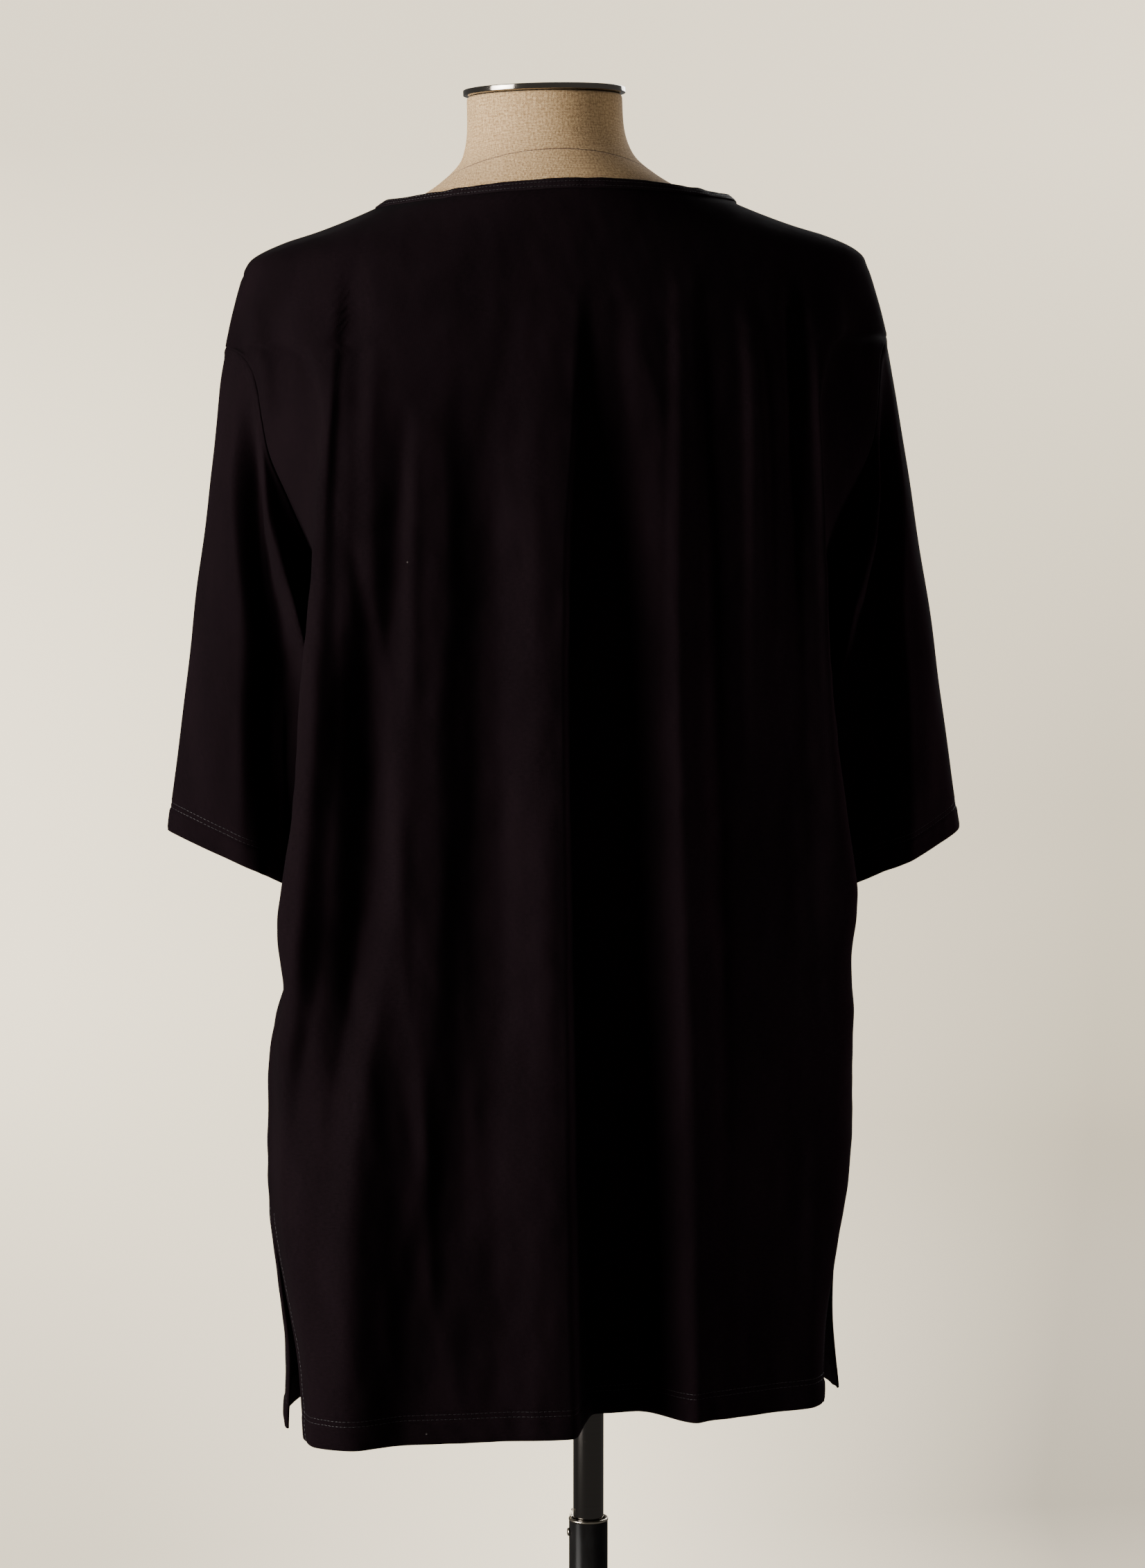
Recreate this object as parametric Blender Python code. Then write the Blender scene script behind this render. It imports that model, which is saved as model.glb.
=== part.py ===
"""Elbow-sleeved jersey tunic top on a limbless linen dress form with a telescopic stand.

Metres, +Z up, the front faces -Y, the wearer's left is +X. The origin is the centre of the base
plate's underside, on the axis of the stand. Form and tunic are worked out upright, about their own
middle line, and then lean a little to the wearer's left together, pivoting at the socket.
"""
import math

import bpy
import numpy as np

# ---------------------------------------------------------------- driving dimensions
CLOTH_WALL = 0.0012
SEAM_GAP = 0.0003
BINDING_WIDTH = 0.0075
BINDING_WALL = 0.0018

MIDDLE_X = 0.0090
LEAN = math.radians(1.25)

HEM_Z = 0.568
FRONT_HEM_DROP = 0.004
SLIT_TOP_Z = 0.7205
UNDERARM_Z = 1.120
ARMHOLE_TOP_Z = 1.317
SHOULDER_TIP = (0.2215, 1.3645)
NECK_POINT = (0.1280, 1.4108)
NAPE_Z = 1.4185
FRONT_NECK_Z = 1.318

FORM_BOTTOM_Z = 0.800
NECK_TOP_Z = 1.4882
CAP_RADIUS = 0.0570
CAP_HEIGHT = 0.0045

BASE_RADIUS = 0.190
BASE_HEIGHT = 0.008
LOWER_TUBE_RADIUS = 0.0140
LOWER_TUBE_BORE = 0.0118
LOWER_TUBE_TOP_Z = 0.4715
RIM_HEIGHT = 0.0018
UPPER_TUBE_RADIUS = 0.0110
UPPER_TUBE_BORE = 0.0095
UPPER_TUBE_BOTTOM_Z = 0.250
SOCKET_DEPTH = 0.045
SOCKET_FLANGE_RADIUS = 0.050
SOCKET_FLANGE_HEIGHT = 0.004
SOCKET_BOSS_RADIUS = 0.0160
BUTTON_Z = 0.4631

PANEL_COLUMNS = 36
FAN_Z = 1.2
ROUND_SEGMENTS = 40


class Table:
    """Rows of named columns, read between the rows by a smooth curve that never overshoots them."""

    def __init__(self, names, rows):
        ordered = sorted(rows)
        self.values = {name: np.array([row[i] for row in ordered]) for i, name in enumerate(names)}
        self.where = self.values[names[0]]

    def at(self, name, where):
        x, y = self.where, self.values[name]
        step = np.diff(x)
        rise = np.diff(y) / step
        slope = np.zeros_like(y)
        slope[1:-1] = np.where(rise[1:] * rise[:-1] > 0, 0.5 * (rise[1:] + rise[:-1]), 0.0)
        limit = 3.0 * np.minimum(np.abs(rise[1:]), np.abs(rise[:-1]))
        slope[1:-1] = np.clip(slope[1:-1], -limit, limit)
        slope[0], slope[-1] = rise[0], rise[-1]
        where = np.clip(where, x[0], x[-1])
        cell = np.clip(np.searchsorted(x, where, side="right") - 1, 0, len(step) - 1)
        u = (where - x[cell]) / step[cell]
        return (y[cell] * (1 - u) ** 2 * (1 + 2 * u) + y[cell + 1] * u ** 2 * (3 - 2 * u)
                + step[cell] * (slope[cell] * u * (1 - u) ** 2 - slope[cell + 1] * u ** 2 * (1 - u)))


# ---------------------------------------------------------------- the tunic's sections
# Level sections of the body: where the middle of the back and of the front lie, and how square
# the section is (2 is an ellipse).
BODY = Table(("z", "back_y", "front_y", "square"), [
    (0.568, 0.136, -0.128, 2.5),
    (0.720, 0.134, -0.132, 2.5),
    (0.860, 0.130, -0.138, 2.5),
    (1.000, 0.125, -0.142, 2.5),
    (1.150, 0.119, -0.144, 2.4),
    (1.230, 0.115, -0.141, 2.2),
    (1.300, 0.110, -0.126, 2.0),
    (1.340, 0.105, -0.108, 1.9),
    (1.370, 0.099, -0.089, 1.9),
    (1.400, 0.091, -0.070, 1.9),
    (1.430, 0.083, -0.060, 1.9),
])

# The fold that hangs from each shoulder beside the sleeve: how far its crest stands from the middle
# and from the side seam, and how much of the section follows it.
SIDE_FOLD = Table(("z", "back_left", "back_right", "front_left", "front_right", "back_y", "front_y",
                   "share"), [
    (0.568, 0.2150, 0.1690, 0.2150, 0.1690, 0.085, -0.020, 0.0),
    (0.740, 0.2230, 0.1850, 0.2190, 0.1850, 0.080, -0.040, 0.0),
    (0.860, 0.2330, 0.1950, 0.2060, 0.1900, 0.076, -0.060, 0.6),
    (0.935, 0.2200, 0.1875, 0.1900, 0.1860, 0.078, -0.070, 1.0),
    (1.000, 0.2090, 0.1800, 0.1860, 0.1820, 0.080, -0.074, 1.0),
    (1.074, 0.2021, 0.1730, 0.1820, 0.1780, 0.083, -0.077, 1.0),
    (1.170, 0.1906, 0.1690, 0.1760, 0.1740, 0.087, -0.080, 1.0),
    (1.264, 0.1803, 0.1660, 0.1700, 0.1690, 0.087, -0.078, 1.0),
    (1.310, 0.1760, 0.1630, 0.1680, 0.1670, 0.080, -0.070, 0.5),
    (1.360, 0.1720, 0.1610, 0.1650, 0.1650, 0.070, -0.060, 0.0),
])

# The side seam below the underarm, tucked in behind the sleeves. Below the slit's top the back edge
# stands gap behind the seam line and flare inside it, the front edge as much before and outside.
SIDE_SEAM = Table(("z", "left", "right", "left_y", "right_y", "gap", "left_flare", "right_flare"), [
    (0.564, 0.2151, 0.1700, 0.0675, 0.0515, 0.0230, 0.0035, 0.0120),
    (0.610, 0.2140, 0.1690, 0.0620, 0.0510, 0.0160, 0.0020, 0.0080),
    (0.670, 0.2200, 0.1745, 0.0560, 0.0500, 0.0070, 0.0010, 0.0030),
    (0.7205, 0.2250, 0.1830, 0.0500, 0.0500, 0.0, 0.0, 0.0),
    (0.780, 0.2235, 0.1880, 0.0420, 0.0420, 0.0, 0.0, 0.0),
    (0.840, 0.2170, 0.1850, 0.0280, 0.0280, 0.0, 0.0, 0.0),
    (0.890, 0.1765, 0.1620, 0.0120, 0.0120, 0.0, 0.0, 0.0),
    (0.940, 0.1560, 0.1480, 0.0020, 0.0020, 0.0, 0.0, 0.0),
    (1.020, 0.1460, 0.1440, 0.0, 0.0, 0.0, 0.0, 0.0),
    (1.085, 0.1480, 0.1480, 0.0, 0.0, 0.0, 0.0, 0.0),
    (1.120, 0.1580, 0.1580, 0.0, 0.0, 0.0, 0.0, 0.0),
])

# The armhole: a panel's edge and the sleeve's edge both follow it, behind and, mirrored, in front.
ARMHOLE = Table(("z", "x", "depth"), [
    (1.1200, 0.1580, 0.0000),
    (1.1270, 0.1640, 0.0190),
    (1.1460, 0.1720, 0.0320),
    (1.1760, 0.1840, 0.0420),
    (1.2150, 0.2005, 0.0480),
    (1.2420, 0.2115, 0.0485),
    (1.2670, 0.2158, 0.0475),
    (1.2880, 0.2185, 0.0440),
    (1.3030, 0.2225, 0.0360),
    (1.3125, 0.2290, 0.0220),
    (1.3170, 0.2347, 0.0000),
])

# The shoulder line: over the sleeve head to the armhole's top, the tip, the neck and on up the
# neck's base.
SHOULDER = Table(("z", "x"), [
    (1.250, 0.2500),
    (1.300, 0.2385),
    (1.317, 0.2347),
    (1.342, 0.2285),
    (1.3645, 0.2215),
    (1.3770, 0.2146),
    (1.3875, 0.1925),
    (1.3945, 0.1700),
    (1.4025, 0.1480),
    (1.4108, 0.1280),
    (1.4180, 0.1130),
    (1.4400, 0.0900),
])

# ---------------------------------------------------------------- folds
# Each fold: height, distance of its middle from the tunic's middle, its reach to the wearer's left
# and right, and how far it stands out (or in, when negative).
FOLD_COLUMNS = ("z", "x", "to_left", "to_right", "depth")
BACK_FOLDS = {
    "deep_valley": [
        (0.568, -0.0080, 0.0400, 0.0540, -0.060),
        (0.640, -0.0080, 0.0400, 0.0540, -0.053),
        (0.760, -0.0080, 0.0400, 0.0560, -0.041),
        (0.900, -0.0060, 0.0370, 0.0560, -0.031),
        (1.070, -0.0060, 0.0330, 0.0540, -0.026),
        (1.170, -0.0060, 0.0270, 0.0500, -0.020),
        (1.250, -0.0080, 0.0230, 0.0460, -0.011),
        (1.310, -0.0100, 0.0180, 0.0300, -0.004),
        (1.360, -0.0100, 0.0160, 0.0260, 0.0),
    ],
    "main_ridge": [
        (0.568, 0.0400, 0.0440, 0.0200, 0.004),
        (0.740, 0.0380, 0.0440, 0.0180, 0.007),
        (0.900, 0.0330, 0.0410, 0.0150, 0.009),
        (1.070, 0.0310, 0.0400, 0.0130, 0.010),
        (1.170, 0.0270, 0.0420, 0.0130, 0.009),
        (1.250, 0.0200, 0.0460, 0.0150, 0.006),
        (1.340, 0.0150, 0.0450, 0.0180, 0.0),
    ],
    "main_crest": [
        (0.568, 0.0330, 0.0320, 0.0140, 0.002),
        (0.800, 0.0290, 0.0300, 0.0120, 0.003),
        (1.100, 0.0250, 0.0280, 0.0110, 0.003),
        (1.200, 0.0260, 0.0260, 0.0130, 0.0),
    ],
    "left_ridge": [
        (0.568, 0.1900, 0.0340, 0.0560, 0.0),
        (0.640, 0.1750, 0.0380, 0.0560, 0.004),
        (0.735, 0.1560, 0.0420, 0.0520, 0.006),
        (0.800, 0.1450, 0.0400, 0.0520, 0.006),
        (0.877, 0.1340, 0.0420, 0.0460, 0.006),
        (0.983, 0.1180, 0.0460, 0.0320, 0.007),
        (1.070, 0.1150, 0.0320, 0.0340, 0.006),
        (1.170, 0.1130, 0.0270, 0.0380, 0.005),
        (1.240, 0.1120, 0.0170, 0.0340, 0.003),
        (1.300, 0.1120, 0.0160, 0.0300, 0.0),
    ],
    "left_flat": [
        (0.568, 0.2060, 0.0500, 0.0640, 0.017),
        (0.640, 0.2120, 0.0500, 0.0720, 0.023),
        (0.740, 0.2230, 0.0500, 0.0900, 0.026),
        (0.860, 0.2270, 0.0500, 0.0820, 0.027),
        (0.980, 0.2080, 0.0500, 0.0620, 0.022),
        (1.080, 0.2000, 0.0500, 0.0540, 0.021),
        (1.170, 0.1880, 0.0500, 0.0600, 0.014),
        (1.240, 0.1850, 0.0400, 0.0600, 0.008),
        (1.310, 0.1850, 0.0300, 0.0500, 0.003),
        (1.350, 0.1800, 0.0300, 0.0400, 0.0),
    ],
    "left_groove": [
        (0.690, 0.2120, 0.0240, 0.0260, -0.002),
        (0.790, 0.2020, 0.0260, 0.0320, -0.014),
        (0.877, 0.1860, 0.0320, 0.0340, -0.015),
        (0.973, 0.1760, 0.0320, 0.0400, -0.012),
        (1.070, 0.1670, 0.0300, 0.0290, -0.011),
        (1.156, 0.1700, 0.0180, 0.0220, -0.005),
        (1.236, 0.1680, 0.0120, 0.0200, -0.005),
        (1.300, 0.1620, 0.0100, 0.0180, -0.0045),
        (1.345, 0.1570, 0.0080, 0.0150, -0.004),
        (1.375, 0.1540, 0.0080, 0.0120, 0.0),
    ],
    "middle_valley": [
        (0.660, 0.1320, 0.0300, 0.0300, 0.0),
        (0.740, 0.1060, 0.0300, 0.0340, -0.003),
        (0.900, 0.0920, 0.0260, 0.0300, -0.003),
        (1.070, 0.0880, 0.0240, 0.0280, -0.003),
        (1.170, 0.0820, 0.0200, 0.0260, -0.003),
        (1.300, 0.0820, 0.0200, 0.0240, 0.0),
    ],
    "right_plane": [
        (0.568, -0.1000, 0.0750, 0.0700, -0.019),
        (0.700, -0.1040, 0.0800, 0.0730, -0.019),
        (0.800, -0.1100, 0.0860, 0.0760, -0.017),
        (1.070, -0.1150, 0.0900, 0.0800, -0.018),
        (1.240, -0.1100, 0.0800, 0.0700, -0.010),
        (1.340, -0.1100, 0.0800, 0.0700, 0.0),
    ],
    "right_ridge": [
        (0.568, -0.0640, 0.0240, 0.0280, 0.001),
        (0.800, -0.0620, 0.0220, 0.0280, 0.005),
        (1.000, -0.0620, 0.0200, 0.0260, 0.007),
        (1.170, -0.0670, 0.0190, 0.0220, 0.006),
        (1.240, -0.0680, 0.0170, 0.0180, 0.005),
        (1.320, -0.0690, 0.0140, 0.0150, 0.003),
        (1.370, -0.0700, 0.0140, 0.0140, 0.0),
    ],
    "right_pleat": [
        (1.000, -0.1180, 0.0130, 0.0130, 0.0),
        (1.070, -0.1170, 0.0130, 0.0130, 0.001),
        (1.170, -0.1180, 0.0120, 0.0120, 0.003),
        (1.240, -0.1180, 0.0110, 0.0110, 0.004),
        (1.310, -0.1160, 0.0090, 0.0090, 0.003),
        (1.345, -0.1140, 0.0070, 0.0070, 0.0),
    ],
    "right_low_ridge": [
        (0.568, -0.1400, 0.0240, 0.0200, 0.002),
        (0.790, -0.1400, 0.0260, 0.0200, 0.002),
        (0.980, -0.1360, 0.0240, 0.0180, 0.0),
    ],
    "right_groove": [
        (0.930, -0.1600, 0.0160, 0.0120, 0.0),
        (1.070, -0.1580, 0.0180, 0.0140, -0.003),
        (1.170, -0.1560, 0.0180, 0.0140, -0.006),
        (1.240, -0.1540, 0.0170, 0.0130, -0.009),
        (1.310, -0.1520, 0.0140, 0.0130, -0.009),
        (1.370, -0.1500, 0.0120, 0.0100, 0.0),
    ],
}

FRONT_FOLDS = {
    "left_valley": [
        (0.565, 0.0660, 0.0340, 0.0300, -0.062),
        (0.700, 0.0620, 0.0340, 0.0340, -0.044),
        (0.900, 0.0560, 0.0320, 0.0340, -0.028),
        (1.100, 0.0520, 0.0300, 0.0300, -0.012),
        (1.210, 0.0520, 0.0240, 0.0240, 0.0),
    ],
    "left_ridge": [
        (0.565, 0.1240, 0.0360, 0.0340, 0.010),
        (0.800, 0.1200, 0.0360, 0.0340, 0.012),
        (1.050, 0.1120, 0.0340, 0.0340, 0.010),
        (1.200, 0.1080, 0.0300, 0.0300, 0.004),
        (1.280, 0.1080, 0.0300, 0.0300, 0.0),
    ],
    "middle_ridge": [
        (0.565, 0.0080, 0.0380, 0.0380, 0.008),
        (0.850, 0.0040, 0.0380, 0.0340, 0.010),
        (1.120, -0.0020, 0.0340, 0.0340, 0.0),
    ],
    "right_valley": [
        (0.565, -0.0520, 0.0300, 0.0360, -0.048),
        (0.720, -0.0540, 0.0320, 0.0340, -0.034),
        (0.920, -0.0580, 0.0320, 0.0320, -0.022),
        (1.120, -0.0600, 0.0280, 0.0280, -0.008),
        (1.200, -0.0600, 0.0240, 0.0240, 0.0),
    ],
    "right_ridge": [
        (0.565, -0.1080, 0.0320, 0.0320, 0.012),
        (0.860, -0.1100, 0.0320, 0.0300, 0.012),
        (1.100, -0.1080, 0.0300, 0.0300, 0.008),
        (1.260, -0.1060, 0.0260, 0.0260, 0.0),
    ],
}

# ---------------------------------------------------------------- sleeves
# Rings along a sleeve: share of its length, the ring's upper and lower ends seen from behind
# (distance from the middle, height), half its depth from back to front, and how square it is.
SLEEVE = Table(("along", "top_x", "top_z", "under_x", "under_z", "half_depth", "square"), [
    (0.00, 0.2347, 1.3170, 0.1580, 1.1200, 0.0480, 2.4),
    (0.10, 0.2405, 1.2835, 0.1650, 1.1000, 0.0500, 2.2),
    (0.30, 0.2503, 1.2060, 0.1690, 1.0600, 0.0520, 2.1),
    (0.54, 0.2622, 1.1275, 0.1720, 1.0060, 0.0510, 2.0),
    (0.80, 0.2755, 1.0350, 0.1680, 0.9520, 0.0460, 1.85),
    (1.00, 0.2850, 0.9700, 0.1640, 0.9140, 0.0400, 1.6),
])

# How much higher each cuff's outer and inner end hang than the rings say.
CUFF_LIFT = {"sleeve_left": (0.0125, 0.0100), "sleeve_right": (-0.0070, -0.0005)}

# Folds along a sleeve: share of its length, turn round it (0 up, 90 the back, 180 the underarm),
# half width in degrees, how far it stands out.
SLEEVE_FOLD_COLUMNS = ("along", "turn", "half_width", "depth")
SLEEVE_FOLDS = {
    "back_valley": [
        (0.00, 48.0, 24.0, -0.004),
        (0.10, 52.0, 26.0, -0.014),
        (0.175, 60.0, 28.0, -0.016),
        (0.30, 82.0, 34.0, -0.017),
        (0.41, 98.0, 38.0, -0.018),
        (0.65, 106.0, 40.0, -0.018),
        (0.87, 112.0, 42.0, -0.014),
        (1.00, 112.0, 40.0, -0.006),
    ],
    "back_ridge": [
        (0.00, 66.0, 14.0, 0.0),
        (0.05, 74.0, 15.0, 0.008),
        (0.175, 88.0, 16.0, 0.008),
        (0.29, 106.0, 16.0, 0.006),
        (0.38, 118.0, 18.0, 0.0),
    ],
    "front_valley": [
        (0.00, 300.0, 24.0, 0.0),
        (0.30, 298.0, 32.0, -0.010),
        (0.70, 288.0, 34.0, -0.010),
        (1.00, 282.0, 30.0, -0.003),
    ],
    "front_ridge": [
        (0.00, 262.0, 24.0, 0.0),
        (0.45, 252.0, 28.0, 0.005),
        (1.00, 240.0, 24.0, 0.0),
    ],
}

# ---------------------------------------------------------------- the dress form
FORM = Table(("z", "half_width", "back_y", "front_y", "square"), [
    (0.800, 0.1500, 0.0880, -0.0980, 2.3),
    (0.845, 0.1540, 0.0900, -0.1020, 2.3),
    (0.900, 0.1450, 0.0880, -0.0990, 2.3),
    (0.960, 0.1290, 0.0800, -0.0920, 2.2),
    (1.020, 0.1200, 0.0760, -0.0880, 2.2),
    (1.080, 0.1240, 0.0790, -0.0960, 2.2),
    (1.150, 0.1380, 0.0860, -0.1140, 2.2),
    (1.220, 0.1520, 0.0920, -0.1270, 2.2),
    (1.270, 0.1720, 0.0950, -0.1230, 2.1),
    (1.310, 0.2060, 0.0990, -0.1120, 2.0),
    (1.335, 0.2190, 0.1005, -0.0990, 1.9),
    (1.352, 0.2190, 0.0980, -0.0900, 1.9),
    (1.364, 0.2150, 0.0950, -0.0830, 1.9),
    (1.374, 0.2050, 0.0925, -0.0770, 1.9),
    (1.382, 0.1900, 0.0905, -0.0700, 1.9),
    (1.390, 0.1670, 0.0880, -0.0630, 1.9),
    (1.400, 0.1350, 0.0850, -0.0570, 1.9),
    (1.410, 0.1090, 0.0810, -0.0550, 1.9),
    (1.418, 0.0940, 0.0780, -0.0560, 2.0),
    (1.425, 0.0820, 0.0740, -0.0610, 2.0),
    (1.433, 0.0710, 0.0680, -0.0630, 2.0),
    (1.442, 0.0620, 0.0600, -0.0670, 2.0),
    (1.452, 0.0575, 0.0510, -0.0700, 2.0),
    (1.466, 0.0550, 0.0430, -0.0700, 2.0),
    (1.4882, 0.0545, 0.0395, -0.0695, 2.0),
])
FORM_COLUMNS = 36
NECK_SHIFT_X = 0.0050


def blend(a, b, share):
    return a + (b - a) * share


def smoothstep(value):
    value = np.clip(value, 0.0, 1.0)
    return value * value * (3.0 - 2.0 * value)


def fold_profile(offset, to_left, to_right):
    """1 on the fold's middle, 0 at its two reaches, with a flat third in the middle."""
    share = np.abs(offset) / np.where(offset > 0, to_left, to_right)
    return smoothstep((1.0 - share) / 0.7)


def fold_depth(folds, x, z):
    """How far all folds of one panel stand out at distance x from the middle and height z."""
    total = np.zeros_like(x)
    for rows in folds.values():
        fold = Table(FOLD_COLUMNS, rows)
        profile = fold_profile(x - fold.at("x", z), fold.at("to_left", z), fold.at("to_right", z))
        total += fold.at("depth", z) * profile
    return total


def shoulder_x(z):
    """Distance of the shoulder line from the middle."""
    return SHOULDER.at("x", z)


def shoulder_z(x):
    """Height of the shoulder line between its tip and the neck."""
    heights = np.linspace(SHOULDER_TIP[1], SHOULDER.where[-1], 200)
    return np.interp(x, shoulder_x(heights)[::-1], heights[::-1])


def seam_point(face, left, z):
    """Side seam or slit edge below the underarm: distance from the middle and y."""
    face_sign = 1.0 if face == "back" else -1.0
    flare = np.where(left, SIDE_SEAM.at("left_flare", z), SIDE_SEAM.at("right_flare", z))
    seam_x = np.where(left, SIDE_SEAM.at("left", z), SIDE_SEAM.at("right", z)) - face_sign * flare
    seam_y = np.where(left, SIDE_SEAM.at("left_y", z), SIDE_SEAM.at("right_y", z))
    return seam_x, seam_y + face_sign * SIDE_SEAM.at("gap", z)


def column_turn(reach, z):
    """Turn of a column round the section: even in angle on the body, even in x at the shoulder."""
    share = smoothstep((z - 1.26) / (SHOULDER_TIP[1] - 1.26))
    return blend(reach * math.pi / 2, np.arcsin(np.clip(reach, 0.0, 1.0)), share)


def panel_point(face, across, z):
    """A body panel's outer face, before the lean.

    across runs from -1, the wearer's right edge, to 1, the left edge. Each level section is a
    superellipse from the middle to the side seam or to the shoulder line; in the armhole's heights it
    stops at the armhole. Beside the sleeves it bends towards the side fold's crest first and then
    tucks in to the edge. Folds are added from back to front.
    """
    face_sign = 1.0 if face == "back" else -1.0
    left = across >= 0
    reach = np.abs(across)
    side = np.where(left, 1.0, -1.0)
    square = BODY.at("square", z)
    middle_y = BODY.at(face + "_y", z)
    seam_x, seam_y = seam_point(face, left, z)
    below = z < UNDERARM_Z
    hole = (z >= UNDERARM_Z) & (z < ARMHOLE_TOP_Z)
    hole_y = ARMHOLE.at("depth", z)

    end_x = np.where(below, seam_x, shoulder_x(z))
    end_y = np.where(below, seam_y, 0.0)
    widest = np.where(below, end_x, np.maximum(end_x, SHOULDER_TIP[0]))
    last_turn = np.where(hole, np.arccos((hole_y / np.abs(middle_y)) ** (square / 2)), math.pi / 2)
    turn = column_turn(reach, z) * last_turn / (math.pi / 2)
    plain_x = widest * np.sin(turn) ** (2 / square)
    ratio = np.clip(plain_x / end_x, 0.0, 1.0)
    plain_y = end_y + (middle_y - end_y) * np.maximum(1.0 - ratio ** square, 0.0) ** (1 / square)
    miss = np.where(hole, ARMHOLE.at("x", z) - widest * np.sin(last_turn) ** (2 / square), 0.0)
    plain_x = plain_x + miss * smoothstep((reach - 0.7) / 0.3)

    edge_x = np.where(hole, ARMHOLE.at("x", z), end_x)
    edge_y = np.where(hole, face_sign * hole_y, end_y)
    crest_share = 0.84
    crest_x = np.where(left, SIDE_FOLD.at(face + "_left", z), SIDE_FOLD.at(face + "_right", z))
    crest_y = SIDE_FOLD.at(face + "_y", z)
    inner_turn = np.minimum(reach / crest_share, 1.0) * math.pi / 2
    outer = np.clip((reach - crest_share) / (1.0 - crest_share), 0.0, 1.0)
    fold_x = crest_x * np.sin(inner_turn) ** (2 / square)
    fold_y = crest_y + (middle_y - crest_y) * np.maximum(np.cos(inner_turn), 0.0) ** (2 / square)
    fold_x = blend(fold_x, edge_x, smoothstep(outer))
    fold_y = blend(fold_y, edge_y, outer)

    share = SIDE_FOLD.at("share", z)
    x = blend(plain_x, fold_x, share)
    y = blend(plain_y, fold_y, share)
    folds = BACK_FOLDS if face == "back" else FRONT_FOLDS
    fade = smoothstep((1.0 - reach) / 0.12)
    y = y + face_sign * (SEAM_GAP / 2 + fade * fold_depth(folds, x * side, z))
    return np.stack([MIDDLE_X + x * side, y, z], axis=-1)


def neck_reach():
    """Where the neck points lie on a panel's top edge."""
    return (NECK_POINT[0] / SHOULDER_TIP[0]) ** (float(BODY.at("square", SHOULDER_TIP[1])) / 2)


def neckline_z(face, x):
    """Top of a panel: the neckline between the neck points, the shoulder line outside them."""
    share = np.clip(np.abs(x) / NECK_POINT[0], 0.0, 1.0)
    if face == "back":
        neck = NECK_POINT[1] + (NAPE_Z - NECK_POINT[1]) * (1.0 - share ** 1.6)
    else:
        neck = NECK_POINT[1] - (NECK_POINT[1] - FRONT_NECK_Z) * (1.0 - share ** 2.2) ** 0.85
    return np.where(np.abs(x) < NECK_POINT[0], neck, shoulder_z(np.abs(x)))


def panel_levels():
    """Heights of a panel's rows at its side edge: its slit, side seam, armhole and dropped shoulder."""
    slit = np.linspace(HEM_Z, SLIT_TOP_Z, 5)[:-1]
    seam = np.linspace(SLIT_TOP_Z, UNDERARM_Z, 8)[:-1]
    shoulder = ARMHOLE_TOP_Z + (SHOULDER_TIP[1] - ARMHOLE_TOP_Z) * np.array([0.5, 0.82, 1.0])
    return np.concatenate([slit, seam, ARMHOLE.where, shoulder])


def panel_heights(face, across, levels):
    """Rows follow the levels up to FAN_Z and then fan out to the neckline and shoulder line."""
    square = BODY.at("square", SHOULDER_TIP[1])
    top_z = neckline_z(face, SHOULDER_TIP[0] * np.abs(across) ** (2 / square))
    stretch = (top_z - FAN_Z) / (SHOULDER_TIP[1] - FAN_Z)
    drop = FRONT_HEM_DROP if face == "front" else 0.0
    low = levels - drop * np.clip((SLIT_TOP_Z - levels) / (SLIT_TOP_Z - HEM_Z), 0.0, 1.0)
    return np.where(levels < FAN_Z, low, FAN_Z + (levels - FAN_Z) * stretch)


def even_columns(face, count):
    """Places across a panel with equal lengths of cloth between them, and one on each neck point."""
    fine = np.linspace(-1.0, 1.0, 1601)
    length = np.zeros_like(fine)
    for z in (0.60, 0.75, 1.05, 1.25):
        line = panel_point(face, fine, np.full_like(fine, z))
        step = np.linalg.norm(np.diff(line, axis=0), axis=1)
        length[1:] += np.cumsum(step)
    across = np.interp(np.linspace(0.0, length[-1], count + 1), length, fine)
    for place in (-neck_reach(), neck_reach()):
        across[np.argmin(np.abs(across - place))] = place
    return across


def lean(points):
    """Turns upright form and tunic points about the socket by the lean."""
    x, y, z = points[..., 0], points[..., 1], points[..., 2] - FORM_BOTTOM_Z
    leaned_x = x * math.cos(LEAN) + z * math.sin(LEAN)
    leaned_z = z * math.cos(LEAN) - x * math.sin(LEAN) + FORM_BOTTOM_Z
    return np.stack([leaned_x, y, leaned_z], axis=-1)


def grid_normals(points, closed_columns):
    """Unit normals of a grid of rows and columns, to the left of the row as it rises."""
    if closed_columns:
        along = np.roll(points, -1, axis=1) - np.roll(points, 1, axis=1)
    else:
        along = np.gradient(points, axis=1)
    up = np.gradient(points, axis=0)
    normal = np.cross(along, up)
    return normal / np.linalg.norm(normal, axis=-1, keepdims=True)


# ---------------------------------------------------------------- mesh makers
def new_material(name, color, roughness, metallic=0.0):
    material = bpy.data.materials.new(name)
    material.use_nodes = True
    shader = material.node_tree.nodes["Principled BSDF"]
    shader.inputs["Base Color"].default_value = (*color, 1.0)
    shader.inputs["Roughness"].default_value = roughness
    shader.inputs["Metallic"].default_value = metallic
    return material


def add_mesh(name, points, faces, material, smooth_angle=40.0):
    mesh = bpy.data.meshes.new(name)
    mesh.from_pydata([tuple(point) for point in points], [], faces)
    mesh.validate()
    mesh.update()
    mesh.shade_smooth()
    mesh.set_sharp_from_angle(angle=math.radians(smooth_angle))
    mesh.materials.append(material)
    model = bpy.data.objects.new(name, mesh)
    bpy.context.collection.objects.link(model)
    return model


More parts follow.
